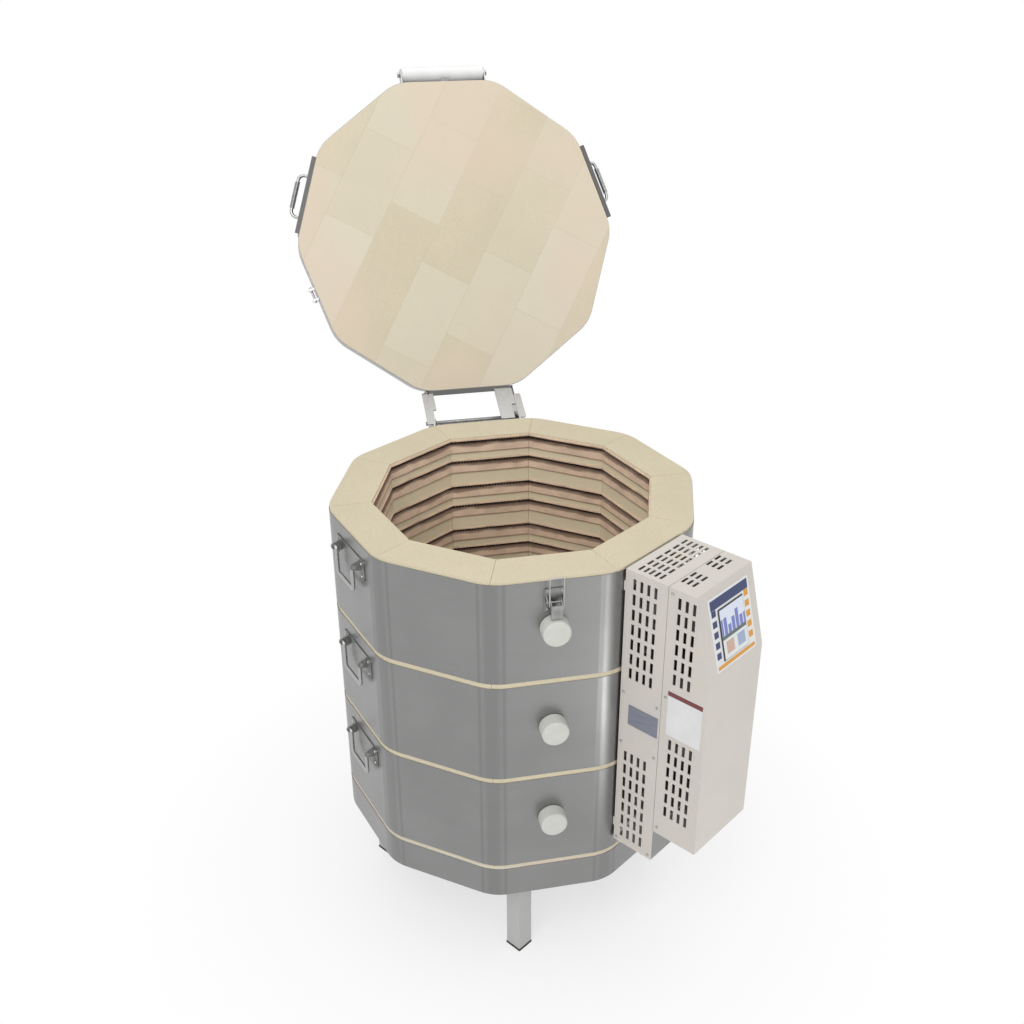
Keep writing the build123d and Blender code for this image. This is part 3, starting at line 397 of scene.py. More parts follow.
def holder_ceramic():
    """Dense pinkish ceramic of the element holders, with painted shadow under its lips and painted shade in the grooves
    along its rows.
    """
    colour = tuple(settings().holder_colour)
    face = Finish("holder_ceramic", colour, 0.75, Specular_IOR_Level=0.3)
    specks = face.clouds(900.0, 1.0)
    tone = face.mix(face.clouds(26.0).between(0.35, 0.65), shade(colour, 0.88), shade(colour, 1.08))
    tone = face.mix(specks.between(0.62, 0.72), tone, shade(colour, 0.6))
    height = face.height()
    uneven = height + face.clouds(14.0, 2.0).between(0.3, 0.7, -0.0008, 0.0008)
    groove_shade_height = height + face.clouds(17.0).between(0.3, 0.7, -0.0035, 0.0035)
    lip_drop = 0.0225
    # Painted shadow: a dark brown line under each holder's lower lip; painted shade: a dark band in each groove round
    # its coil
    for section in SECTIONS:
        for row in element_rows(section):
            tone = face.mix(uneven.within(row - lip_drop, 0.0013, 0.0006) * 0.62, tone, (0.17, 0.10, 0.07))
            tone = face.mix(groove_shade_height.within(row - 0.0005, 0.0040, 0.0045) * 0.75, tone, (0.19, 0.115, 0.085))
    face.feed("Base Color", tone)
    face.bump(specks, 0.0002, 0.4)
    return face


def element_wire():
    """Resistance wire with its grey-brown oxide skin."""
    face = Finish("element_wire", (0.12, 0.095, 0.08), 0.6, 0.6)
    scale = face.clouds(300.0, 2.0)
    face.tint(scale, (0.08, 0.06, 0.05), (0.19, 0.15, 0.125))
    face.gloss(scale, 0.45, 0.75)
    return face


def brushed_steel(name, shade_bends):
    """Stainless sheet with a fine brushed grain and faint handling marks, with painted shade at its bends where it has
    any.
    """
    colour = tuple(settings().steel_colour)
    face = Finish(name, colour, 0.36, 0.9)
    grain = face.noise(face.stretched(face.place, (3.0, 3.0, 1500.0)), 1.0, 3.0, 0.6)
    broad = face.noise(face.stretched(face.place, (2.0, 2.0, 22.0)), 1.0, 2.0)
    smears = face.clouds(7.0, 4.0, 0.6)
    tone = face.mix(grain.between(0.3, 0.7), shade(colour, 0.93), shade(colour, 1.06))
    tone = face.mix(broad.between(0.35, 0.65, 0.0, 0.35), tone, shade(colour, 1.1))
    tone = face.mix(smears.between(0.35, 0.7, 0.0, 0.6), tone, shade(colour, 0.9))
    if shade_bends:
        # 0 at the middle of each side and 0.5 at the corners
        parts = face.add("ShaderNodeSeparateXYZ", {}, {"Vector": face.place})
        side = parts["X"].math("ARCTAN2", parts["Y"] * -1.0) / math.radians(360 / SIDES)
        from_middle = abs((side + 0.5).math("FRACT") - 0.5)
        # Painted shade: a dark line beside each bend and a darker band over it, standing in for the reflections on the
        # rounded corners
        tone = face.mix(from_middle.within(0.400, 0.006, 0.015) * 0.35, tone, shade(colour, 0.62))
        tone = face.mix(from_middle.between(0.42, 0.46, 0.0, 0.7), tone, shade(colour, 0.82))
    face.feed("Base Color", tone)
    face.feed("Roughness", grain * 0.10 + smears * 0.12 + 0.23)
    face.bump(grain, 0.00008, 0.35)
    return face


def jacket_steel():
    return brushed_steel("jacket_steel", True)


def band_steel():
    return brushed_steel("band_steel", False)


def white_ceramic():
    """Off-white castable of the plugs, slightly rough with small voids."""
    colour = tuple(settings().plug_colour)
    face = Finish("white_ceramic", colour, 0.7, Specular_IOR_Level=0.3)
    clouds = face.clouds(60.0)
    holes = face.cells(340.0).between(0.06, 0.16)
    tone = face.mix(clouds.between(0.35, 0.65), shade(colour, 0.95), colour)
    face.feed("Base Color", face.mix(holes, shade(colour, 0.8), tone))
    face.bump(holes * 0.6 + clouds * 0.4, 0.0003, 0.35)
    return face


def glazed_grip():
    """Smooth white glazed tube of the front handle."""
    face = Finish("glazed_grip", (0.83, 0.83, 0.82), 0.28, Coat_Weight=0.4, Coat_Roughness=0.12)
    clouds = face.clouds(35.0)
    face.tint(clouds, (0.80, 0.80, 0.79), (0.87, 0.87, 0.86))
    face.bump(clouds, 0.0003, 0.2)
    return face


def enamel(name, colour, roughness):
    """Sprayed or powder-coated paint with its orange-peel skin and a faint unevenness."""
    face = Finish(name, colour, roughness)
    skin = face.clouds(260.0, 2.0)
    face.tint(face.clouds(5.0, 4.0, 0.6), shade(colour, 0.97), shade(colour, 1.03))
    face.feed("Roughness", skin * 0.12 + (roughness - 0.06))
    face.bump(skin, 0.0003, 0.25)
    return face


def housing_paint():
    return enamel("housing_paint", tuple(settings().housing_colour), 0.45)


def leg_paint():
    return enamel("leg_paint", (0.50, 0.50, 0.49), 0.38)


def dark_paint():
    return enamel("dark_paint", (0.115, 0.115, 0.11), 0.42)


def transformer_paint():
    return enamel("transformer_paint", (0.10, 0.10, 0.11), 0.5)


def plated_steel():
    """Zinc-plated steel with its faint crystalline clouding."""
    colour = (0.43, 0.43, 0.425)
    face = Finish("plated_steel", colour, 0.3, 0.95)
    spangle = face.clouds(120.0, 4.0, 0.65)
    face.tint(spangle, shade(colour, 0.92), shade(colour, 1.06))
    face.gloss(spangle, 0.26, 0.38)
    face.bump(spangle, 0.00005, 0.2)
    return face


def drawn_steel():
    """Dull drawn steel of the brackets and the latch, with grey smudges."""
    colour = (0.30, 0.30, 0.295)
    face = Finish("drawn_steel", colour, 0.36, 0.9)
    smudges = face.clouds(70.0, 4.0, 0.6)
    face.tint(smudges, shade(colour, 0.8), shade(colour, 1.15))
    face.gloss(smudges, 0.28, 0.46)
    face.bump(smudges, 0.0001, 0.3)
    return face


def polished_steel():
    face = Finish("polished_steel", (0.72, 0.72, 0.73), 0.14, 1.0)
    face.gloss(face.noise(face.stretched(face.place, (900.0, 30.0, 30.0)), 1.0, 2.0), 0.09, 0.22)
    return face


def spring_steel():
    face = Finish("spring_steel", (0.50, 0.50, 0.50), 0.34, 0.9)
    face.gloss(face.clouds(200.0), 0.26, 0.46)
    return face


def rubber():
    face = Finish("rubber", (0.022, 0.022, 0.022), 0.8)
    skin = face.clouds(500.0, 2.0)
    face.tint(skin, (0.016, 0.016, 0.016), (0.034, 0.034, 0.034))
    face.bump(skin, 0.0002, 0.4)
    return face


def black_plastic():
    face = Finish("black_plastic", (0.03, 0.03, 0.032), 0.5)
    face.bump(face.clouds(700.0, 2.0), 0.0001, 0.3)
    return face


def brass():
    face = Finish("brass", (0.70, 0.50, 0.20), 0.3, 1.0)
    face.gloss(face.clouds(200.0), 0.2, 0.42)
    return face


def tube_ceramic():
    colour = (0.80, 0.74, 0.62)
    face = Finish("tube_ceramic", colour, 0.6)
    face.tint(face.clouds(90.0), shade(colour, 0.85), colour)
    return face


def board_green():
    """Circuit board with its solder mask and pale lines."""
    face = Finish("board_green", (0.02, 0.14, 0.06), 0.35)
    face.tint(face.cells(130.0, "DISTANCE_TO_EDGE"), (0.05, 0.26, 0.10), (0.02, 0.13, 0.05), 0.03, 0.05)
    return face


def label_blank():
    """Blank white enamelled plate with a dark red band near its top."""
    face = Finish("label_blank", (0.70, 0.70, 0.70), 0.35)
    band_drop = 0.227
    band = face.height().within(rim_height() - band_drop, 0.005, 0.0006)
    plain = face.mix(face.clouds(30.0).between(0.3, 0.7), (0.67, 0.67, 0.68), (0.73, 0.73, 0.73))
    face.feed("Base Color", face.mix(band, plain, (0.17, 0.035, 0.035)))
    return face


def plate_blank():
    """Blank blue-grey anodised plate."""
    face = Finish("plate_blank", (0.20, 0.21, 0.26), 0.42, 0.35)
    brushed = face.noise(face.stretched(face.place, (40.0, 40.0, 900.0)), 1.0, 2.0)
    face.tint(brushed, (0.18, 0.19, 0.24), (0.25, 0.26, 0.31))
    return face


def slope_axes():
    """Middle of the control box's sloped front, and its directions right, up and out."""
    lean = math.atan2(SLOPE_RUN, SLOPE_RISE)
    right = along(CONTROL_ANGLE)
    out = outward(CONTROL_ANGLE) * math.cos(lean) + Vector((0, 0, math.sin(lean)))
    reach = jacket_apothem() + BOX_STANDOFF + TERMINAL_DEPTH + BOX_GAP + CONTROL_TOP_DEPTH + SLOPE_RUN / 2
    middle = outward(CONTROL_ANGLE) * reach + right * BOX_OFFSET
    middle += Vector((0, 0, rim_height() - CONTROL_TOP_DROP - SLOPE_RISE / 2))
    return middle, right, out.cross(right), out


def slope_readings(face, drop):
    """How far a point lies to the right of the screen's middle, and above a line this far down the sloped front."""
    middle, right, up, out = slope_axes()
    across = face.along(face.place, right) - (middle @ right + SCREEN_ACROSS)
    rise = face.along(face.place, up) - (middle @ up + SLOPE_HALF_LENGTH - drop)
    return across, rise


def front_film():
    """Pale film round the screen: a blue band above, an orange one below, and squares in both colours beside it."""
    face = Finish("front_film", (0.72, 0.73, 0.74), 0.32)
    across, rise = slope_readings(face, FILM_DROP)
    blue = tuple(settings().film_blue)
    orange = tuple(settings().film_orange)
    inside = abs(across).between(0.0606, 0.0602)
    columns = abs(across).within(0.0525, 0.0065)
    steps = abs((rise / 0.021 + 0.5).math("FRACT") - 0.5).between(0.32, 0.30)
    squares = columns * steps * abs(rise).between(0.0525, 0.0523)
    tone = face.mix(face.clouds(8.0).between(0.3, 0.7), (0.69, 0.70, 0.71), (0.75, 0.76, 0.76))
    tone = face.mix(rise.within(0.0585, 0.0095) * inside, tone, blue)
    tone = face.mix(rise.within(-0.0655, 0.0035) * inside, tone, orange)
    tone = face.mix(squares, tone, face.mix(across.between(-0.001, 0.001), blue, orange))
    face.feed("Base Color", tone)
    return face


def lit_screen():
    """A lit display with plain panels: a row of bars on a pale field, and two tiles under it."""
    face = Finish(
        "lit_screen", (0.3, 0.3, 0.3), 0.12, Coat_Weight=0.5, Coat_Roughness=0.05, Emission_Strength=0.30,
    )
    across, rise = slope_readings(face, SCREEN_DROP)
    columns = across / 0.0125 + 0.5
    top = (columns.math("FLOOR") * 1.9).math("SINE") * 0.011 + 0.024
    bars = abs(columns.math("FRACT") - 0.5).between(0.42, 0.38) * (top - rise).between(-0.0003, 0.0003)
    chart = face.mix(bars, (0.50, 0.54, 0.62), (0.10, 0.13, 0.36))
    chart = face.mix(rise.between(-0.0030, -0.0034), chart, (0.045, 0.07, 0.06))
    tiles = abs(across).within(0.018, 0.012) * rise.within(-0.028, 0.012)
    pair = face.mix(across.between(-0.001, 0.001), (0.42, 0.27, 0.20), (0.22, 0.28, 0.40))
    picture = face.mix(rise.between(-0.0105, -0.0100), face.mix(tiles, (0.52, 0.54, 0.54), pair), chart)
    inside = abs(across).between(0.0385, 0.0379) * abs(rise).between(0.0495, 0.0489)
    picture = face.mix(inside, (0.6, 0.6, 0.6), picture)
    face.feed("Base Color", picture)
    face.feed("Emission Color", picture)
    return face


NODE_FINISH = {
    wall_brick: ["bricks_" + name for name in SECTIONS],
    floor_brick: ["floor_slab"],
    lid_brick: ["lid_slab"],
    holder_ceramic: ["element_holders_" + name for name in SECTIONS],
    element_wire: ["elements_" + name for name in SECTIONS],
    jacket_steel: ["jacket_" + name for name in SECTIONS] + ["floor_pan"],
    band_steel: ["lid_band", "heat_baffle"],
    white_ceramic: ["peephole_plug_" + name for name in SECTIONS],
    glazed_grip: ["lid_handle_grip"],
    housing_paint: ["terminal_box", "control_box"],
    leg_paint: ["legs", "stand_cross"],
    rubber: ["foot_pads"],
    drawn_steel: ["handle_bases", "latch_base", "latch_lever", "latch_keeper", "hinge_body_bracket"],
    plated_steel: [
        "latch_loop", "lid_handle_bracket", "lid_handle_bolt", "lid_side_handles", "hinge_arms", "lid_band_clamp",
    ] + ["handle_bail_%s_%s" % (name, hand) for name in SECTIONS for hand in ("left", "right")],
    dark_paint: ["hinge_lid_angle", "lid_side_angles"],
    spring_steel: ["hinge_spring", "lid_side_coils"],
    polished_steel: ["hinge_rod", "control_hinge_fixed_leaf", "control_hinge_moving_leaf", "control_hinge_pin"],
    front_film: ["control_overlay"],
    black_plastic: ["touch_screen", "power_relays", "power_terminal_block", "cord_gland"],
    board_green: ["circuit_board"],
    transformer_paint: ["transformer"],
    brass: ["element_connectors"],
    tube_ceramic: ["thermocouples"],
}


# Meshes


def new_piece(name, mesh, body, maker, slot, *replaced):
    """Puts a finished mesh in the scene, on its body. Without a maker, the mesh has its material already."""
    piece = bpy.data.objects.new(name, mesh)
    bpy.context.scene.collection.objects.link(piece)
    if maker:
        mesh.materials.append(finish(maker))
    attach(piece, body)
    if replaced:
        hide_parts(*replaced)


def mesh_from(shape, name):
    """Turns a bmesh into a mesh with outward faces."""
    bmesh.ops.recalc_face_normals(shape, faces=shape.faces[:])
    mesh = bpy.data.meshes.new(name)
    shape.to_mesh(mesh)
    shape.free()
    return mesh


def add_block(shape, matrix, size, bevel):
    """Adds a block that stands on its matrix's plane, with softened edges."""
    made = bmesh.ops.create_cube(shape, size=1.0)["verts"]
    scale = Matrix.Diagonal((*size, 1.0))
    bmesh.ops.transform(shape, matrix=matrix @ Matrix.Translation((0, 0, size[2] / 2)) @ scale, verts=made)
    edges = list({edge for vert in made for edge in vert.link_edges})
    bmesh.ops.bevel(shape, geom=edges, offset=bevel, segments=2, affect="EDGES", profile=0.5)


def add_rod(shape, start, end, radius, count=12):
    """Adds a capped round rod between two points."""
    axis = end - start
    turn = axis.to_track_quat("Z", "Y").to_matrix().to_4x4()
    place = Matrix.Translation((start + end) / 2) @ turn
    bmesh.ops.create_cone(
        shape, cap_ends=True, segments=count, radius1=radius, radius2=radius, depth=axis.length, matrix=place,
    )


def rounded_corners(corners, radius, steps=4):
    """A closed outline whose corners are eased by short curves."""
    outline = []
    for number, corner in enumerate(corners):
        here = Vector(corner)
        before = here + (Vector(corners[number - 1]) - here).normalized() * radius
        after = here + (Vector(corners[(number + 1) % len(corners)]) - here).normalized() * radius
        for step in range(steps + 1):
            share = step / steps
            outline.append(before.lerp(here, share).lerp(here.lerp(after, share), share))
    return outline


def add_plate(shape, outlines, gauge, place, edge=0.0004):
    """Adds a flat plate cut to outlines, the first outside and the others holes, with eased edges."""
    curve = bpy.data.curves.new("plate", "CURVE")
    curve.dimensions = "2D"
    curve.fill_mode = "BOTH"
    curve.extrude = gauge / 2 - edge
    curve.bevel_depth = edge
    curve.bevel_resolution = 1
    curve.offset = -edge
    for outline in outlines:
        spline = curve.splines.new("POLY")
        spline.points.add(len(outline) - 1)
        for point, (across, rise) in zip(spline.points, outline):
            point.co = (across, rise, 0.0, 1.0)
        spline.use_cyclic_u = True
    host = bpy.data.objects.new("plate", curve)
    bpy.context.scene.collection.objects.link(host)
    bpy.context.view_layer.update()
    made = bpy.data.meshes.new_from_object(host.evaluated_get(bpy.context.evaluated_depsgraph_get()))
    bpy.data.objects.remove(host)
    made.transform(place @ Matrix.Translation((0, 0, gauge / 2)))
    shape.from_mesh(made)
    bpy.data.meshes.remove(made)


def add_turned(shape, profile, place, count=48):
    """Adds a solid turned about its matrix's z, from points of height and radius. Gives its last ring and end face."""
    turns = [math.tau * step / count for step in range(count)]
    rings = []
    for height, radius in profile:
        corners = [Vector((radius * math.cos(turn), radius * math.sin(turn), height)) for turn in turns]
        rings.append([shape.verts.new(place @ corner) for corner in corners])
    for lower, upper in zip(rings, rings[1:]):
        for step in range(count):
            after = (step + 1) % count
            shape.faces.new((lower[step], lower[after], upper[after], upper[step]))
    shape.faces.new(list(reversed(rings[0])))
    return rings[-1], shape.faces.new(rings[-1])


def smoothed(mesh, degrees=32.0):
    """Shades a mesh smooth except at its edges."""
    mesh.shade_smooth()
    mesh.set_sharp_from_angle(angle=math.radians(degrees))
    return mesh


class Recipe(Sheet):
    """A Geometry Nodes tree with named inputs."""

    def __init__(self, name, inputs):
        super().__init__(bpy.data.node_groups.new(name, "GeometryNodeTree"))
        sockets = self.tree.interface
        for direction in ("OUTPUT", "INPUT"):
            sockets.new_socket("Geometry", in_out=direction, socket_type="NodeSocketGeometry")
        self.identifiers = {}
        for label, kind in inputs.items():
            socket = sockets.new_socket(label, in_out="INPUT", socket_type="NodeSocket" + kind)
            self.identifiers[label] = socket.identifier
        self.given = self.add("NodeGroupInput")

    def capture(self, reading, name):
        """Keeps a direction of each guide face for the point that stands for it. Gives the guide and the direction."""
        node = self.tree.nodes.new("GeometryNodeCaptureAttribute")
        node.domain = "FACE"
        node.capture_items.new("VECTOR", name)
        self.tree.links.new(self.given["Geometry"].socket, node.inputs["Geometry"])
        self.tree.links.new(reading.socket, node.inputs[name])
        return Reading(self, node.outputs["Geometry"]), Reading(self, node.outputs[name])

    def end(self, geometry):
        """Realises the instances, sets the material and closes the tree."""
        solid = self.add("GeometryNodeRealizeInstances", {}, {"Geometry": geometry})["Geometry"]
        values = {"Geometry": solid, "Material": self.given["Material"]}
        coated = self.add("GeometryNodeSetMaterial", {}, values)["Geometry"]
        self.add("NodeGroupOutput", {}, {"Geometry": coated})
        return self

    def apply(self, mesh, name, values):
        """Runs the tree on a mesh and returns the plain mesh it gives."""
        host = bpy.data.objects.new(name + "_guide", mesh)
        bpy.context.scene.collection.objects.link(host)
        modifier = host.modifiers.new(name, "NODES")
        modifier.node_group = self.tree
        for label, value in values.items():
            modifier[self.identifiers[label]] = value
        bpy.context.view_layer.update()
        result = bpy.data.meshes.new_from_object(host.evaluated_get(bpy.context.evaluated_depsgraph_get()))
        result.name = name
        host.modifiers.clear()
        bpy.data.objects.remove(host)
        if not result.polygons:
            raise RuntimeError("the tree gave no faces for " + name)
        return result


def coil_recipe():
    """A wire wound round a path: a helix whose turns follow the path's length."""
    recipe = Recipe("wound_wire", {
        "Coil Radius": "Float", "Pitch": "Float", "Wire Radius": "Float", "Points a Turn": "Float", "Wire Sides": "Int",
        "Material": "Material",
    })
    given = recipe.given

    def swung(direction, share):
        """A direction across the path, scaled to a share of the coil's radius."""
        values = {"Vector": direction, "Scale": share * given["Coil Radius"]}
        return recipe.add("ShaderNodeVectorMath", {"operation": "SCALE"}, values)["Vector"]

    path = recipe.add("GeometryNodeMeshToCurve", {}, {"Mesh": given["Geometry"]})["Curve"]
    step = given["Pitch"] / given["Points a Turn"]
    path = recipe.add("GeometryNodeResampleCurve", {"mode": "LENGTH"}, {"Curve": path, "Length": step})["Curve"]
    path = recipe.add("GeometryNodeSetCurveNormal", {"mode": "Z_UP"}, {"Curve": path})["Curve"]
    turn = recipe.add("GeometryNodeSplineParameter")["Length"] / given["Pitch"] * math.tau
    normal = recipe.add("GeometryNodeInputNormal")["Normal"]
    side = recipe.vector("CROSS_PRODUCT", recipe.add("GeometryNodeInputTangent")["Tangent"], normal)
    offset = recipe.vector("ADD", swung(normal, turn.math("COSINE")), swung(side, turn.math("SINE")))
    wound = recipe.add("GeometryNodeSetPosition", {}, {"Geometry": path, "Offset": offset})["Geometry"]
    circle = {"Resolution": given["Wire Sides"], "Radius": given["Wire Radius"]}
    section = recipe.add("GeometryNodeCurvePrimitiveCircle", {"mode": "RADIUS"}, circle)["Curve"]
    tube = {"Curve": wound, "Profile Curve": section, "Fill Caps": True}
    return recipe.end(recipe.add("GeometryNodeCurveToMesh", {}, tube)["Mesh"])


def head_recipe():
    """One fastener head on each small face of the guide, standing square to it and turned by chance."""
    recipe = Recipe("fastener_heads", {"Head": "Object", "Size": "Float", "Turn Seed": "Int", "Material": "Material"})
    given = recipe.given
    guide, facing = recipe.capture(recipe.add("GeometryNodeInputNormal")["Normal"], "Facing")
    points = recipe.add("GeometryNodeMeshToPoints", {"mode": "FACES"}, {"Mesh": guide})["Points"]
    stand = recipe.add("FunctionNodeAlignRotationToVector", {"axis": "Z"}, {"Vector": facing})["Rotation"]
    spin = recipe.add(
        "FunctionNodeRandomValue", {"data_type": "FLOAT"}, {2: 0.0, 3: math.pi, "Seed": given["Turn Seed"]}
    )[1]
    spun = recipe.add("FunctionNodeAxisAngleToRotation", {}, {"Axis": (0.0, 0.0, 1.0), "Angle": spin})["Rotation"]
    turned = recipe.add(
        "FunctionNodeRotateRotation", {"rotation_space": "LOCAL"}, {"Rotation": stand, "Rotate By": spun}
    )["Rotation"]
    head = recipe.add("GeometryNodeObjectInfo", {"transform_space": "ORIGINAL"}, {"Object": given["Head"]})["Geometry"]
    values = {"Points": points, "Instance": head, "Rotation": turned, "Scale": given["Size"]}
    return recipe.end(recipe.add("GeometryNodeInstanceOnPoints", {}, values)["Instances"])


def polyline(points):
    """A mesh of edges through points, as a path for a recipe."""
    mesh = bpy.data.meshes.new("path")
    mesh.from_pydata([tuple(point) for point in points], [(step, step + 1) for step in range(len(points) - 1)], [])
    return mesh


def add_coil(shape, points, maker, radius, pitch, wire, turn_points, sides):
    """Adds a wire wound round the path through some points."""
    wound = once(coil_recipe).apply(polyline(points), "coil", {
        "Coil Radius": radius, "Pitch": pitch, "Wire Radius": wire, "Points a Turn": turn_points, "Wire Sides": sides,
        "Material": finish(maker),
    })
    shape.from_mesh(wound)
    bpy.data.meshes.remove(wound)


def wound_piece(name, shape, body, maker, slot, node):
    """Puts wound wire in the scene in place of a node, smooth all over."""
    mesh = bpy.data.meshes.new(name)
    shape.to_mesh(mesh)
    shape.free()
    mesh.shade_smooth()
    new_piece(name, mesh, body, maker, slot, node)


def head_object(kind):
    """A fastener head of unit width standing on the XY plane: a cross-recessed pan head or a hexagon."""
    name = "head_" + kind
    if name in bpy.data.objects:
        return bpy.data.objects[name]
    count, profile = {
        "pan": (12, ((0.0, 0.5), (0.14, 0.5), (0.26, 0.44), (0.33, 0.30), (0.35, 0.16))),
        "hex": (6, ((0.0, 0.5), (0.34, 0.5), (0.40, 0.46))),
    }[kind]
    shape = bmesh.new()
    ring, top = add_turned(shape, profile, Matrix(), count)
    if kind == "pan":
        centre = bmesh.ops.poke(shape, faces=[top])["verts"][0]
        centre.co.z -= 0.16
        for vert in ring[::3]:
            vert.co.z -= 0.07
    head = bpy.data.objects.new(name, mesh_from(shape, name))
    bpy.context.scene.collection.objects.link(head)
    head.hide_render = True
    return head


def fasteners(name, kind, places, size, body):
    """Heads at matrices whose z points out of the surface."""
    half = 0.001
    shape = bmesh.new()
    for place in places:
        corners = [place @ Vector((x * half, y * half, 0.0)) for x, y in ((-1, -1), (1, -1), (1, 1), (-1, 1))]
        shape.faces.new([shape.verts.new(corner) for corner in corners])
    guide = bpy.data.meshes.new(name + "_places")
    shape.to_mesh(guide)
    shape.free()
    values = {"Head": head_object(kind), "Size": size, "Turn Seed": 7, "Material": finish(plated_steel)}
    new_piece(name, once(head_recipe).apply(guide, name, values), body, None, "zinc_steel")


def about(middle, half):
    """Two places at the same distance from a middle, the lower one first."""
    return middle - half, middle + half


def side_grid(angle, distance, heights, acrosses):
    """Places on a side: at each distance across, one at each height."""
    return [side_frame(angle, distance, height, across) for across in acrosses for height in heights]


# Settings


def colour_setting(name, description, default):
    return bpy.props.FloatVectorProperty(
        name=name, description=description, subtype="COLOR", size=3, min=0, max=1, default=default,
    )


def length_setting(name, description, default, low, high):
    return bpy.props.FloatProperty(
        name=name, description=description, unit="LENGTH", min=low, max=high, default=default,
    )


def angle_setting(name, description, degrees):
    return bpy.props.FloatProperty(name=name, description=description, subtype="ANGLE", default=math.radians(degrees))


class KilnSettings(bpy.types.PropertyGroup):
    """Sizes and colours of the fine parts."""

    brick_colour: colour_setting("Brick", "Colour of the insulating brick", (0.645, 0.588, 0.465))
    holder_colour: colour_setting("Element holders", "Colour of the dense holders", (0.78, 0.60, 0.455))
    steel_colour: colour_setting("Jacket", "Colour of the brushed jackets", (0.275, 0.275, 0.273))
    plug_colour: colour_setting("Plugs", "Colour of the peephole plugs", (0.602, 0.606, 0.564))
    housing_colour: colour_setting("Housings", "Paint of the control housings", (0.60, 0.564, 0.518))
    film_blue: colour_setting("Film, dark bars", "Colour of the film's dark bars", (0.020, 0.036, 0.125))
    film_orange: colour_setting("Film, bright bar", "Colour of the film's bright bar", (0.66, 0.30, 0.025))
    plug_radius: length_setting("Plug head", "Radius of a peephole plug's head", 0.028, 0.01, 0.05)
    coil_radius: length_setting(
        "Coil radius", "Radius of the element coil at the middle of its wire", 0.0049, 0.002, 0.02,
    )
    coil_pitch: length_setting(
        "Coil pitch", "Distance from one turn of an element to the next", 0.0072, 0.002, 0.05,
    )
    wire_radius: length_setting("Wire radius", "Radius of the element wire", 0.0013, 0.0005, 0.004)
    screw_size: length_setting("Screw head", "Width of a sheet-metal screw's head", 0.008, 0.002, 0.02)


class StageSettings(bpy.types.PropertyGroup):
    """Light, floor and camera."""

    camera_place: bpy.props.FloatVectorProperty(
        name="Camera", description="Where the camera stands", subtype="TRANSLATION", unit="LENGTH", size=3,
        default=(-0.4344, -2.1555, 2.0662),
    )
    azimuth: angle_setting("Azimuth", "Turn of the view about the upright", -11.27)
    elevation: angle_setting("Elevation", "How far the view looks down", 27.41)
    roll: angle_setting("Roll", "Turn of the view about its own line", -0.25)
    lens: bpy.props.FloatProperty(
        name="Lens", description="Focal length in millimetres", min=10, max=300, default=41.17,
    )
    world_light: bpy.props.FloatProperty(
        name="Ambient light", description="Strength of the light from all round", min=0, max=5, default=0.66,
    )
    key_power: bpy.props.FloatProperty(
        name="Key light", description="Power of the large soft light above", unit="POWER", min=0, max=2000,
        default=56.0,
    )


def settings():
    return bpy.context.scene.kiln_settings


def stage_settings():
    return bpy.context.scene.kiln_stage


# Operators


class KILN_OT_finishes(bpy.types.Operator):
    """Gives every part of the frame its finish"""

    bl_idname = "kiln.finishes"
    bl_label = "Finishes"

    def execute(self, context):
        missed = set(frame["nodes"])
        for maker, nodes in NODE_FINISH.items():
            for node in nodes:
                materials = frame["nodes"][node].data.materials
                materials.clear()
                materials.append(finish(maker))
                missed.remove(node)
        if missed:
            raise RuntimeError("no finish for " + ", ".join(sorted(missed)))
        return {"FINISHED"}


def sagged(points, chance, parts=7, depth=0.0011):
    """The same path with points between its corners that wander up and down by chance."""
    path = [points[0]]
    for start, end in zip(points, points[1:]):
        for step in range(1, parts):
            path.append(start.lerp(end, step / parts) + Vector((0, 0, chance.uniform(-depth, depth))))
        path.append(end)
    return path


class KILN_OT_elements(bpy.types.Operator):
    """Winds the heating elements in their holders, with their jumpers and pins"""

    bl_idname = "kiln.elements"
    bl_label = "Heating elements"

    def execute(self, context):
        values = settings()
        chance = random.Random(5)
        out = outward(CONTROL_ANGLE)
        reach = CHAMBER_APOTHEM + COIL_DEPTH
        corner = reach / math.cos(math.pi / SIDES)
        turns = [CONTROL_ANGLE + 360 / SIDES * (step + 0.5) for step in range(SIDES)]
        left, right = (out * reach + along(CONTROL_ANGLE) * gap for gap in (-COIL_END_GAP, COIL_END_GAP))
        for section in SECTIONS:
            rows = element_rows(section)
            shape = bmesh.new()
            for height in rows:
                lift = Vector((0, 0, height))
                points = [right, *(outward(turn) * corner for turn in turns), left]
                path = sagged([point + lift for point in points], chance)
                add_coil(shape, path, element_wire, values.coil_radius, values.coil_pitch, values.wire_radius, 11.0, 5)
                foot = path[0]
                add_rod(shape, foot - out * PIN_RADIUS, foot + out * (PIN_LENGTH - PIN_RADIUS), PIN_RADIUS)
            for upper, lower in (rows[:2], rows[2:]):
                add_rod(shape, left + Vector((0, 0, lower)), left + Vector((0, 0, upper)), PIN_RADIUS)
            wound_piece("coils_" + section, shape, "kiln", element_wire, "element_wire", "elements_" + section)
        return {"FINISHED"}


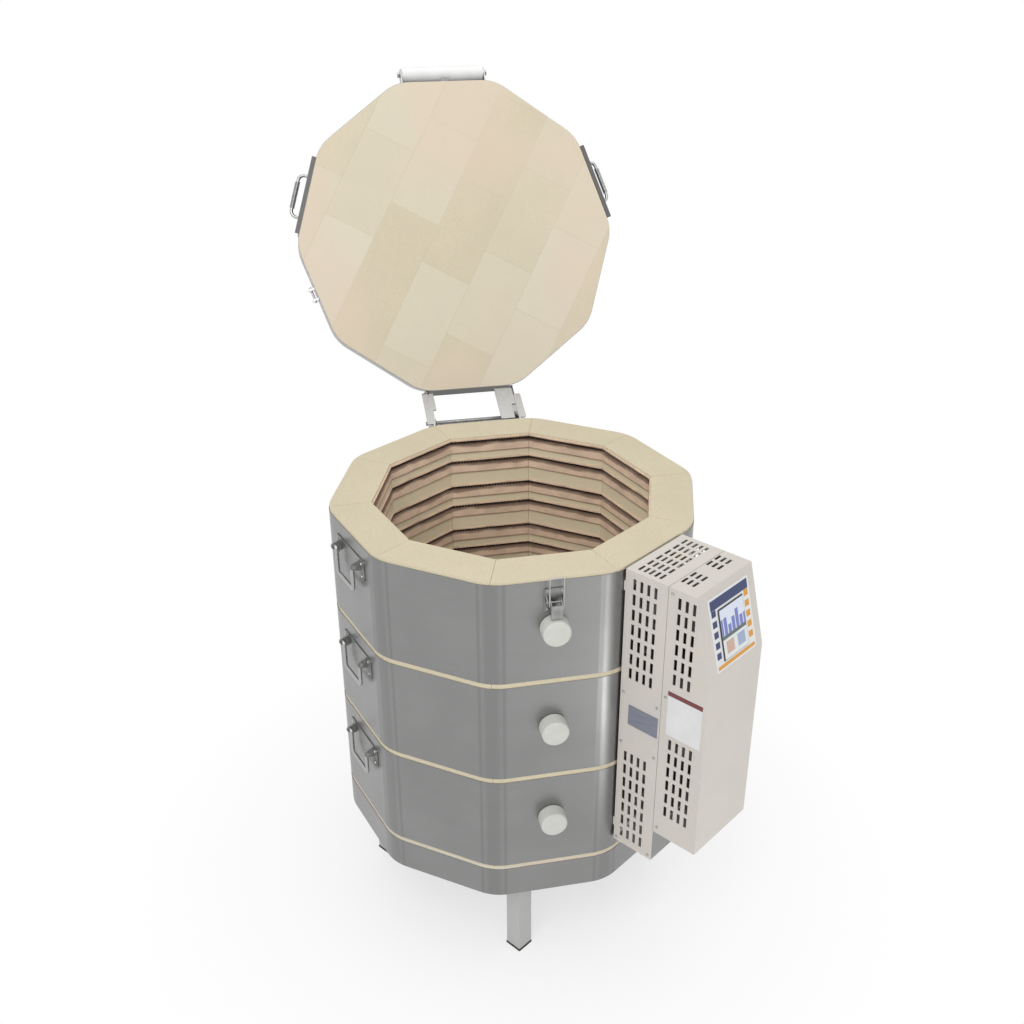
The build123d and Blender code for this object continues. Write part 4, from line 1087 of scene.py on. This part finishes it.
class KILN_OT_plugs(bpy.types.Operator):
    """Turns the peephole plugs: a tapered shank and a stout round head"""

    bl_idname = "kiln.plugs"
    bl_label = "Peephole plugs"

    def execute(self, context):
        head = settings().plug_radius
        seat = jacket_apothem() + SEAT
        tip = 0.0086
        taper = 0.00105
        chamfer = 0.0012
        draft = 0.0008
        easing = 0.004
        flat = 0.004
        for section in SECTIONS:
            node = "peephole_plug_" + section
            low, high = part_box(node)
            length = -low[1] - seat
            profile = [(-high[1] - seat, tip), (0.0, tip + taper), (0.0, head - chamfer), (chamfer, head)]
            for step in range(6):
                turn = math.radians(90.0 * step / 5)
                radius = head - draft - easing * (1 - math.cos(turn))
                profile.append((length - easing + easing * math.sin(turn), radius))
            profile.append((length, flat))
            shape = bmesh.new()
            add_turned(shape, profile, side_frame(0, seat, (low[2] + high[2]) / 2))
            mesh = smoothed(mesh_from(shape, node + "_cast"))
            new_piece(node + "_cast", mesh, node, white_ceramic, "white_ceramic", node)
        return {"FINISHED"}


class KILN_OT_hinge_arms(bpy.types.Operator):
    """Makes the lid's two hinge arms: slotted webs with broad flanges in front"""

    bl_idname = "kiln.hinge_arms"
    bl_label = "Hinge arms"

    def execute(self, context):
        gauge = 0.004
        half_span = 0.106
        eye = 0.018
        travel = 0.012
        slot = 0.00808
        tab = 0.016
        front = lid_apothem() + HINGE_PLATE_GAUGE
        low = rim_height() + 0.0038
        high = low + 0.0533

        def arc(radius, drop, steps):
            """Points at fortieths of a turn round the rod, or round a point below it."""
            middle = Vector((HINGE.y, HINGE.z - drop))
            turns = [math.tau * step / 40 for step in steps]
            return [middle + Vector((radius * math.cos(turn), radius * math.sin(turn))) for turn in turns]

        tabs = [Vector(corner) for corner in ((front, low), (front + tab, low), (front + tab, high), (front, high))]
        points = arc(eye, 0.0, range(40)) + arc(eye, travel, range(40)) + tabs
        outline = [points[number] for number in geometry.convex_hull_2d(points)]
        opening = arc(slot, 0.0, range(21)) + arc(slot, travel, range(20, 40))
        to_eye = Vector((HINGE.y - front, HINGE.z - travel - low))
        lean = math.atan2(to_eye.y, to_eye.x) - math.asin(eye / to_eye.length)
        slope = Vector((0, math.cos(lean), math.sin(lean)))

        # The flanges lie along the arm's edge, from its foot to its eye. Beyond narrow they leave out a strip for
        # the bracket's cheeks. Each is a side, a rounding, and corners as places across and along the arm.
        foot = 0.001
        narrow = 0.063
        end = 0.112
        inner = 0.094
        outer = 0.122
        flanges = (
            (-1, 0.0025, ((outer, foot), (inner, foot), (inner, narrow), (0.102, narrow), (0.102, end), (outer, end))),
            (1, 0.0025, ((0.060, foot), (0.1044, foot), (0.1044, narrow), (inner, narrow), (inner, end), (0.060, end))),
            (1, 0.0065, ((0.1046, 0.027), (outer, 0.027), (outer, end), (0.1046, end))),
        )
        shape = bmesh.new()
        for side in (-1, 1):
            upright = framed(Vector((side * half_span - gauge / 2, 0, 0)), Vector((0, 1, 0)), Vector((0, 0, 1)))
            add_plate(shape, [outline, opening], gauge, on_lid(upright))
        plate = framed(Vector((0, front, low)), Vector((1, 0, 0)), slope)
        for side, rounding, corners in flanges:
            flange = rounded_corners([(side * across, along_arm) for across, along_arm in corners], rounding)
            add_plate(shape, [flange], gauge, on_lid(plate))
        bmesh.ops.remove_doubles(shape, verts=shape.verts[:], dist=0.000002)
        mesh = mesh_from(shape, "hinge_arm_pair")
        new_piece("hinge_arm_pair", mesh, "lid", plated_steel, "zinc_steel", "hinge_arms")
        return {"FINISHED"}


class KILN_OT_springs(bpy.types.Operator):
    """Winds the hinge's spring and the coil grips of the lid's side handles"""

    bl_idname = "kiln.springs"
    bl_label = "Springs and coil grips"

    def execute(self, context):
        low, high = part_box("hinge_spring")
        centre = (low + high) / 2
        half = (high[0] - low[0]) / 2
        end_gap = 0.002
        middle_gap = 0.006
        shape = bmesh.new()
        for ends in ((-half + end_gap, -middle_gap), (middle_gap, half - end_gap)):
            points = [centre + Vector((across, 0, 0)) for across in ends]
            add_coil(shape, points, spring_steel, 0.0098, 0.0040, 0.0015, 20.0, 6)
        wound_piece("torsion_springs", shape, "kiln", spring_steel, "dark_steel", "hinge_spring")

        reach = lid_apothem() + LID_SIDE_ANGLE_GAUGE + LID_SIDE_HANDLE_REACH
        shape = bmesh.new()
        for angle in LID_HANDLE_ANGLES:
            grip = [side_frame(angle, reach, lid_middle(), across) for across in about(0, 0.0325)]
            points = [on_lid(place).translation for place in grip]
            add_coil(shape, points, plated_steel, 0.0054, 0.0029, 0.0011, 18.0, 6)
        wound_piece("coil_grips", shape, "lid", plated_steel, "zinc_steel", "lid_side_coils")
        return {"FINISHED"}


class KILN_OT_fasteners(bpy.types.Operator):
    """Sets the screws and bolts"""

    bl_idname = "kiln.fasteners"
    bl_label = "Screws and bolts"

    def execute(self, context):
        size = settings().screw_size
        rim = rim_height()
        seat = jacket_apothem() + SEAT
        plate_face = seat + PLATE_GAUGE
        pivot_to_plate = 0.006
        places = []
        for section in SECTIONS:
            height = section_top(section) - HANDLE_DROP - pivot_to_plate
            for angle in SECTION_HANDLE_ANGLES:
                places += side_grid(angle, plate_face, about(height, 0.014), about(0, 0.060))
        places += side_grid(0, plate_face, about(rim - LATCH_DROP, 0.019), about(0, 0.014))
        fasteners("handle_screws", "pan", places, size * 0.8, "kiln")

        places = side_grid(180, seat + HINGE_PLATE_GAUGE, (rim - 0.022, rim - 0.150), (-0.112, -0.060, 0.060, 0.112))
        fasteners("hinge_bolts", "hex", places, 0.011, "kiln")

        edge = lid_apothem()
        middle = lid_middle()
        grip_plate = edge + 0.0024
        across_hinge = (-0.085, -0.045, 0.0, 0.045, 0.085)
        places = side_grid(180, edge + HINGE_PLATE_GAUGE, about(middle, 0.018), across_hinge)
        for angle in LID_HANDLE_ANGLES:
            heights = (middle - 0.016, middle + 0.012)
            places += side_grid(angle, edge + LID_SIDE_ANGLE_GAUGE, heights, about(0, 0.080))
        places += side_grid(0, grip_plate, (middle + 0.014, middle - 0.014), about(0, 0.085))
        fasteners("lid_screws", "pan", [on_lid(place) for place in places], size, "lid")
        return {"FINISHED"}


class KILN_OT_housing_details(bpy.types.Operator):
    """Adds the plates, the lit display and the screws of the control housings"""

    bl_idname = "kiln.housing_details"
    bl_label = "Housing details"

    def execute(self, context):
        out = outward(CONTROL_ANGLE)
        left_wall = along(CONTROL_ANGLE) * (BOX_OFFSET - BOX_WIDTH / 2)

        def on_left(depth, drop):
            """Place on the housings' left wall, facing out of it."""
            reach = jacket_apothem() + BOX_STANDOFF + depth
            return framed(out * reach + left_wall + Vector((0, 0, rim_height() - drop)), out, Vector((0, 0, 1)))

        middle, right, up, forward = slope_axes()
        screen = middle + right * SCREEN_ACROSS + up * (SLOPE_HALF_LENGTH - SCREEN_DROP) + forward * SCREEN_RISE
        label = on_left(0.150, 0.272)
        display = framed(screen, right, up)
        blocks = (
            ("housing_plate", "kiln", plate_blank, "front_film", on_left(0.057, 0.322), (0.070, 0.047, 0.0012), 0.0004),
            ("control_label", "control_box", label_blank, "front_film", label, (0.078, 0.102, 0.0008), 0.0003),
            ("display", "control_box", lit_screen, "screen", display, (0.0764, 0.0984, 0.0004), 0.0001),
        )
        for name, body, maker, slot, place, size, easing in blocks:
            shape = bmesh.new()
            add_block(shape, place, size, easing)
            new_piece(name, mesh_from(shape, name), body, maker, slot)

        size = settings().screw_size * 0.8
        places = [on_left(depth, drop) for depth in (0.008, 0.088) for drop in (0.275, 0.395, 0.645)]
        fasteners("terminal_box_screws", "pan", places, size, "kiln")
        places = [on_left(0.106, drop) for drop in (0.012, 0.24, 0.56)]
        fasteners("control_box_screws", "pan", places, size, "control_box")
        return {"FINISHED"}


def seen_straight(sheet):
    """1 for rays from the camera and for those that gloss and glass send on, and 0 for the rest."""
    rays = sheet.add("ShaderNodeLightPath")
    direct = rays["Is Camera Ray"].math("MAXIMUM", rays["Is Glossy Ray"])
    return direct.math("MAXIMUM", rays["Is Transmission Ray"])


def floor_paper():
    """Pale paper that keeps shadows near the middle and is seen white further out."""
    material = bpy.data.materials.new("floor_paper")
    material.use_nodes = True
    sheet = Sheet(material.node_tree)
    matt = sheet.add("ShaderNodeBsdfDiffuse", {}, {"Color": (0.92, 0.92, 0.92)})["BSDF"]
    glow = sheet.add("ShaderNodeEmission", {}, {"Color": (1.0, 1.0, 1.0), "Strength": 1.0})["Emission"]
    from_middle = sheet.vector("LENGTH", sheet.add("ShaderNodeTexCoord")["Object"])
    white = seen_straight(sheet) * from_middle.between(0.25, 0.95, 0.62, 1.0)
    mixed = sheet.add("ShaderNodeMixShader", {}, {0: white, 1: matt, 2: glow})["Shader"]
    sheet.add("ShaderNodeOutputMaterial", {}, {"Surface": mixed})
    return material


def studio(light):
    """World that is seen white and lights the kiln from all round."""
    world = bpy.data.worlds.new("studio")
    world.use_nodes = True
    sheet = Sheet(world.node_tree)
    values = {"Color": (1.0, 1.0, 1.0), "Strength": seen_straight(sheet).between(0.0, 1.0, light, 1.0)}
    sheet.add("ShaderNodeOutputWorld", {}, {"Surface": sheet.add("ShaderNodeBackground", {}, values)["Background"]})
    return world


def add_lamp(name, shape, width, height, power, place):
    """Adds an area light that shines against its matrix's z."""
    lamp = bpy.data.lights.new(name, "AREA")
    lamp.shape = shape
    lamp.size = width
    lamp.size_y = height
    lamp.energy = power
    holder = bpy.data.objects.new(name, lamp)
    holder.matrix_world = place
    bpy.context.scene.collection.objects.link(holder)
    return holder


class KILN_OT_stage(bpy.types.Operator):
    """Lays the floor, sets the lights and the camera"""

    bl_idname = "kiln.stage"
    bl_label = "Stage"

    def execute(self, context):
        values = stage_settings()
        scene = context.scene
        scene.view_settings.view_transform = "Standard"
        scene.world = studio(values.world_light)

        shape = bmesh.new()
        bmesh.ops.create_grid(shape, x_segments=1, y_segments=1, size=14.0)
        floor = bpy.data.objects.new("floor", mesh_from(shape, "floor"))
        scene.collection.objects.link(floor)
        floor.data.materials.append(floor_paper())

        aim = Vector((0, 0, 0.7))
        lamps = (
            ("key", (-1.3, -2.6, 3.3), 2.4, 1.0),
            ("fill", (2.6, -1.6, 2.4), 2.0, 0.10),
            ("top", (0.2, 0.6, 4.2), 3.0, 0.38),
        )
        for name, place, width, share in lamps:
            turn = (aim - Vector(place)).to_track_quat("-Z", "Y").to_matrix().to_4x4()
            add_lamp(name, "DISK", width, width, values.key_power * share, Matrix.Translation(place) @ turn)

        # A narrow light low over the floor that runs outwards and shines up, seen as a streak in the jacket
        angle = 28.0
        place = framed(outward(angle) * 1.65 + Vector((0, 0, 0.05)), along(angle), outward(angle))
        strip = add_lamp("strip", "RECTANGLE", 0.12, 1.3, values.key_power * 0.065, place)
        strip.visible_camera = False

        azimuth = math.degrees(values.azimuth)
        level = along(azimuth)
        away = outward(azimuth) * math.cos(values.elevation) + Vector((0, 0, math.sin(values.elevation)))
        upright = away.cross(level)
        right = level * math.cos(values.roll) + upright * math.sin(values.roll)
        above = upright * math.cos(values.roll) - level * math.sin(values.roll)
        lens = bpy.data.cameras.new("camera")
        lens.sensor_width = 36.0
        lens.lens = values.lens
        lens.clip_end = 50.0
        camera = bpy.data.objects.new("camera", lens)
        camera.matrix_world = framed(values.camera_place, right, above)
        scene.collection.objects.link(camera)
        scene.camera = camera
        return {"FINISHED"}


class KILN_PT_panel(bpy.types.Panel):
    """Lists the kiln's operators and settings"""

    bl_idname = "KILN_PT_panel"
    bl_label = "Kiln"
    bl_space_type = "VIEW_3D"
    bl_region_type = "UI"
    bl_category = "Kiln"

    def draw(self, context):
        column = self.layout.column()
        for operator in OPERATORS:
            column.operator(operator.bl_idname)
        for values in (settings(), stage_settings()):
            for name in values.__annotations__:
                column.prop(values, name)


OPERATORS = (
    KILN_OT_finishes, KILN_OT_elements, KILN_OT_plugs, KILN_OT_hinge_arms, KILN_OT_springs, KILN_OT_fasteners,
    KILN_OT_housing_details, KILN_OT_stage,
)
CLASSES = (KilnSettings, StageSettings) + OPERATORS + (KILN_PT_panel,)


def register():
    for item in CLASSES:
        bpy.utils.register_class(item)
    bpy.types.Scene.kiln_settings = bpy.props.PointerProperty(type=KilnSettings)
    bpy.types.Scene.kiln_stage = bpy.props.PointerProperty(type=StageSettings)


def unregister():
    del bpy.types.Scene.kiln_stage
    del bpy.types.Scene.kiln_settings
    for item in reversed(CLASSES):
        bpy.utils.unregister_class(item)


def main():
    """Makes everything in order."""
    register()
    bpy.ops.kiln.stage()
    bpy.ops.kiln.finishes()
    bpy.ops.kiln.elements()
    bpy.ops.kiln.plugs()
    bpy.ops.kiln.hinge_arms()
    bpy.ops.kiln.springs()
    bpy.ops.kiln.fasteners()
    bpy.ops.kiln.housing_details()
    for item in [item for item in bpy.data.objects if item.name.startswith("head_")]:
        bpy.data.objects.remove(item)


if __name__ == "__main__":
    main()
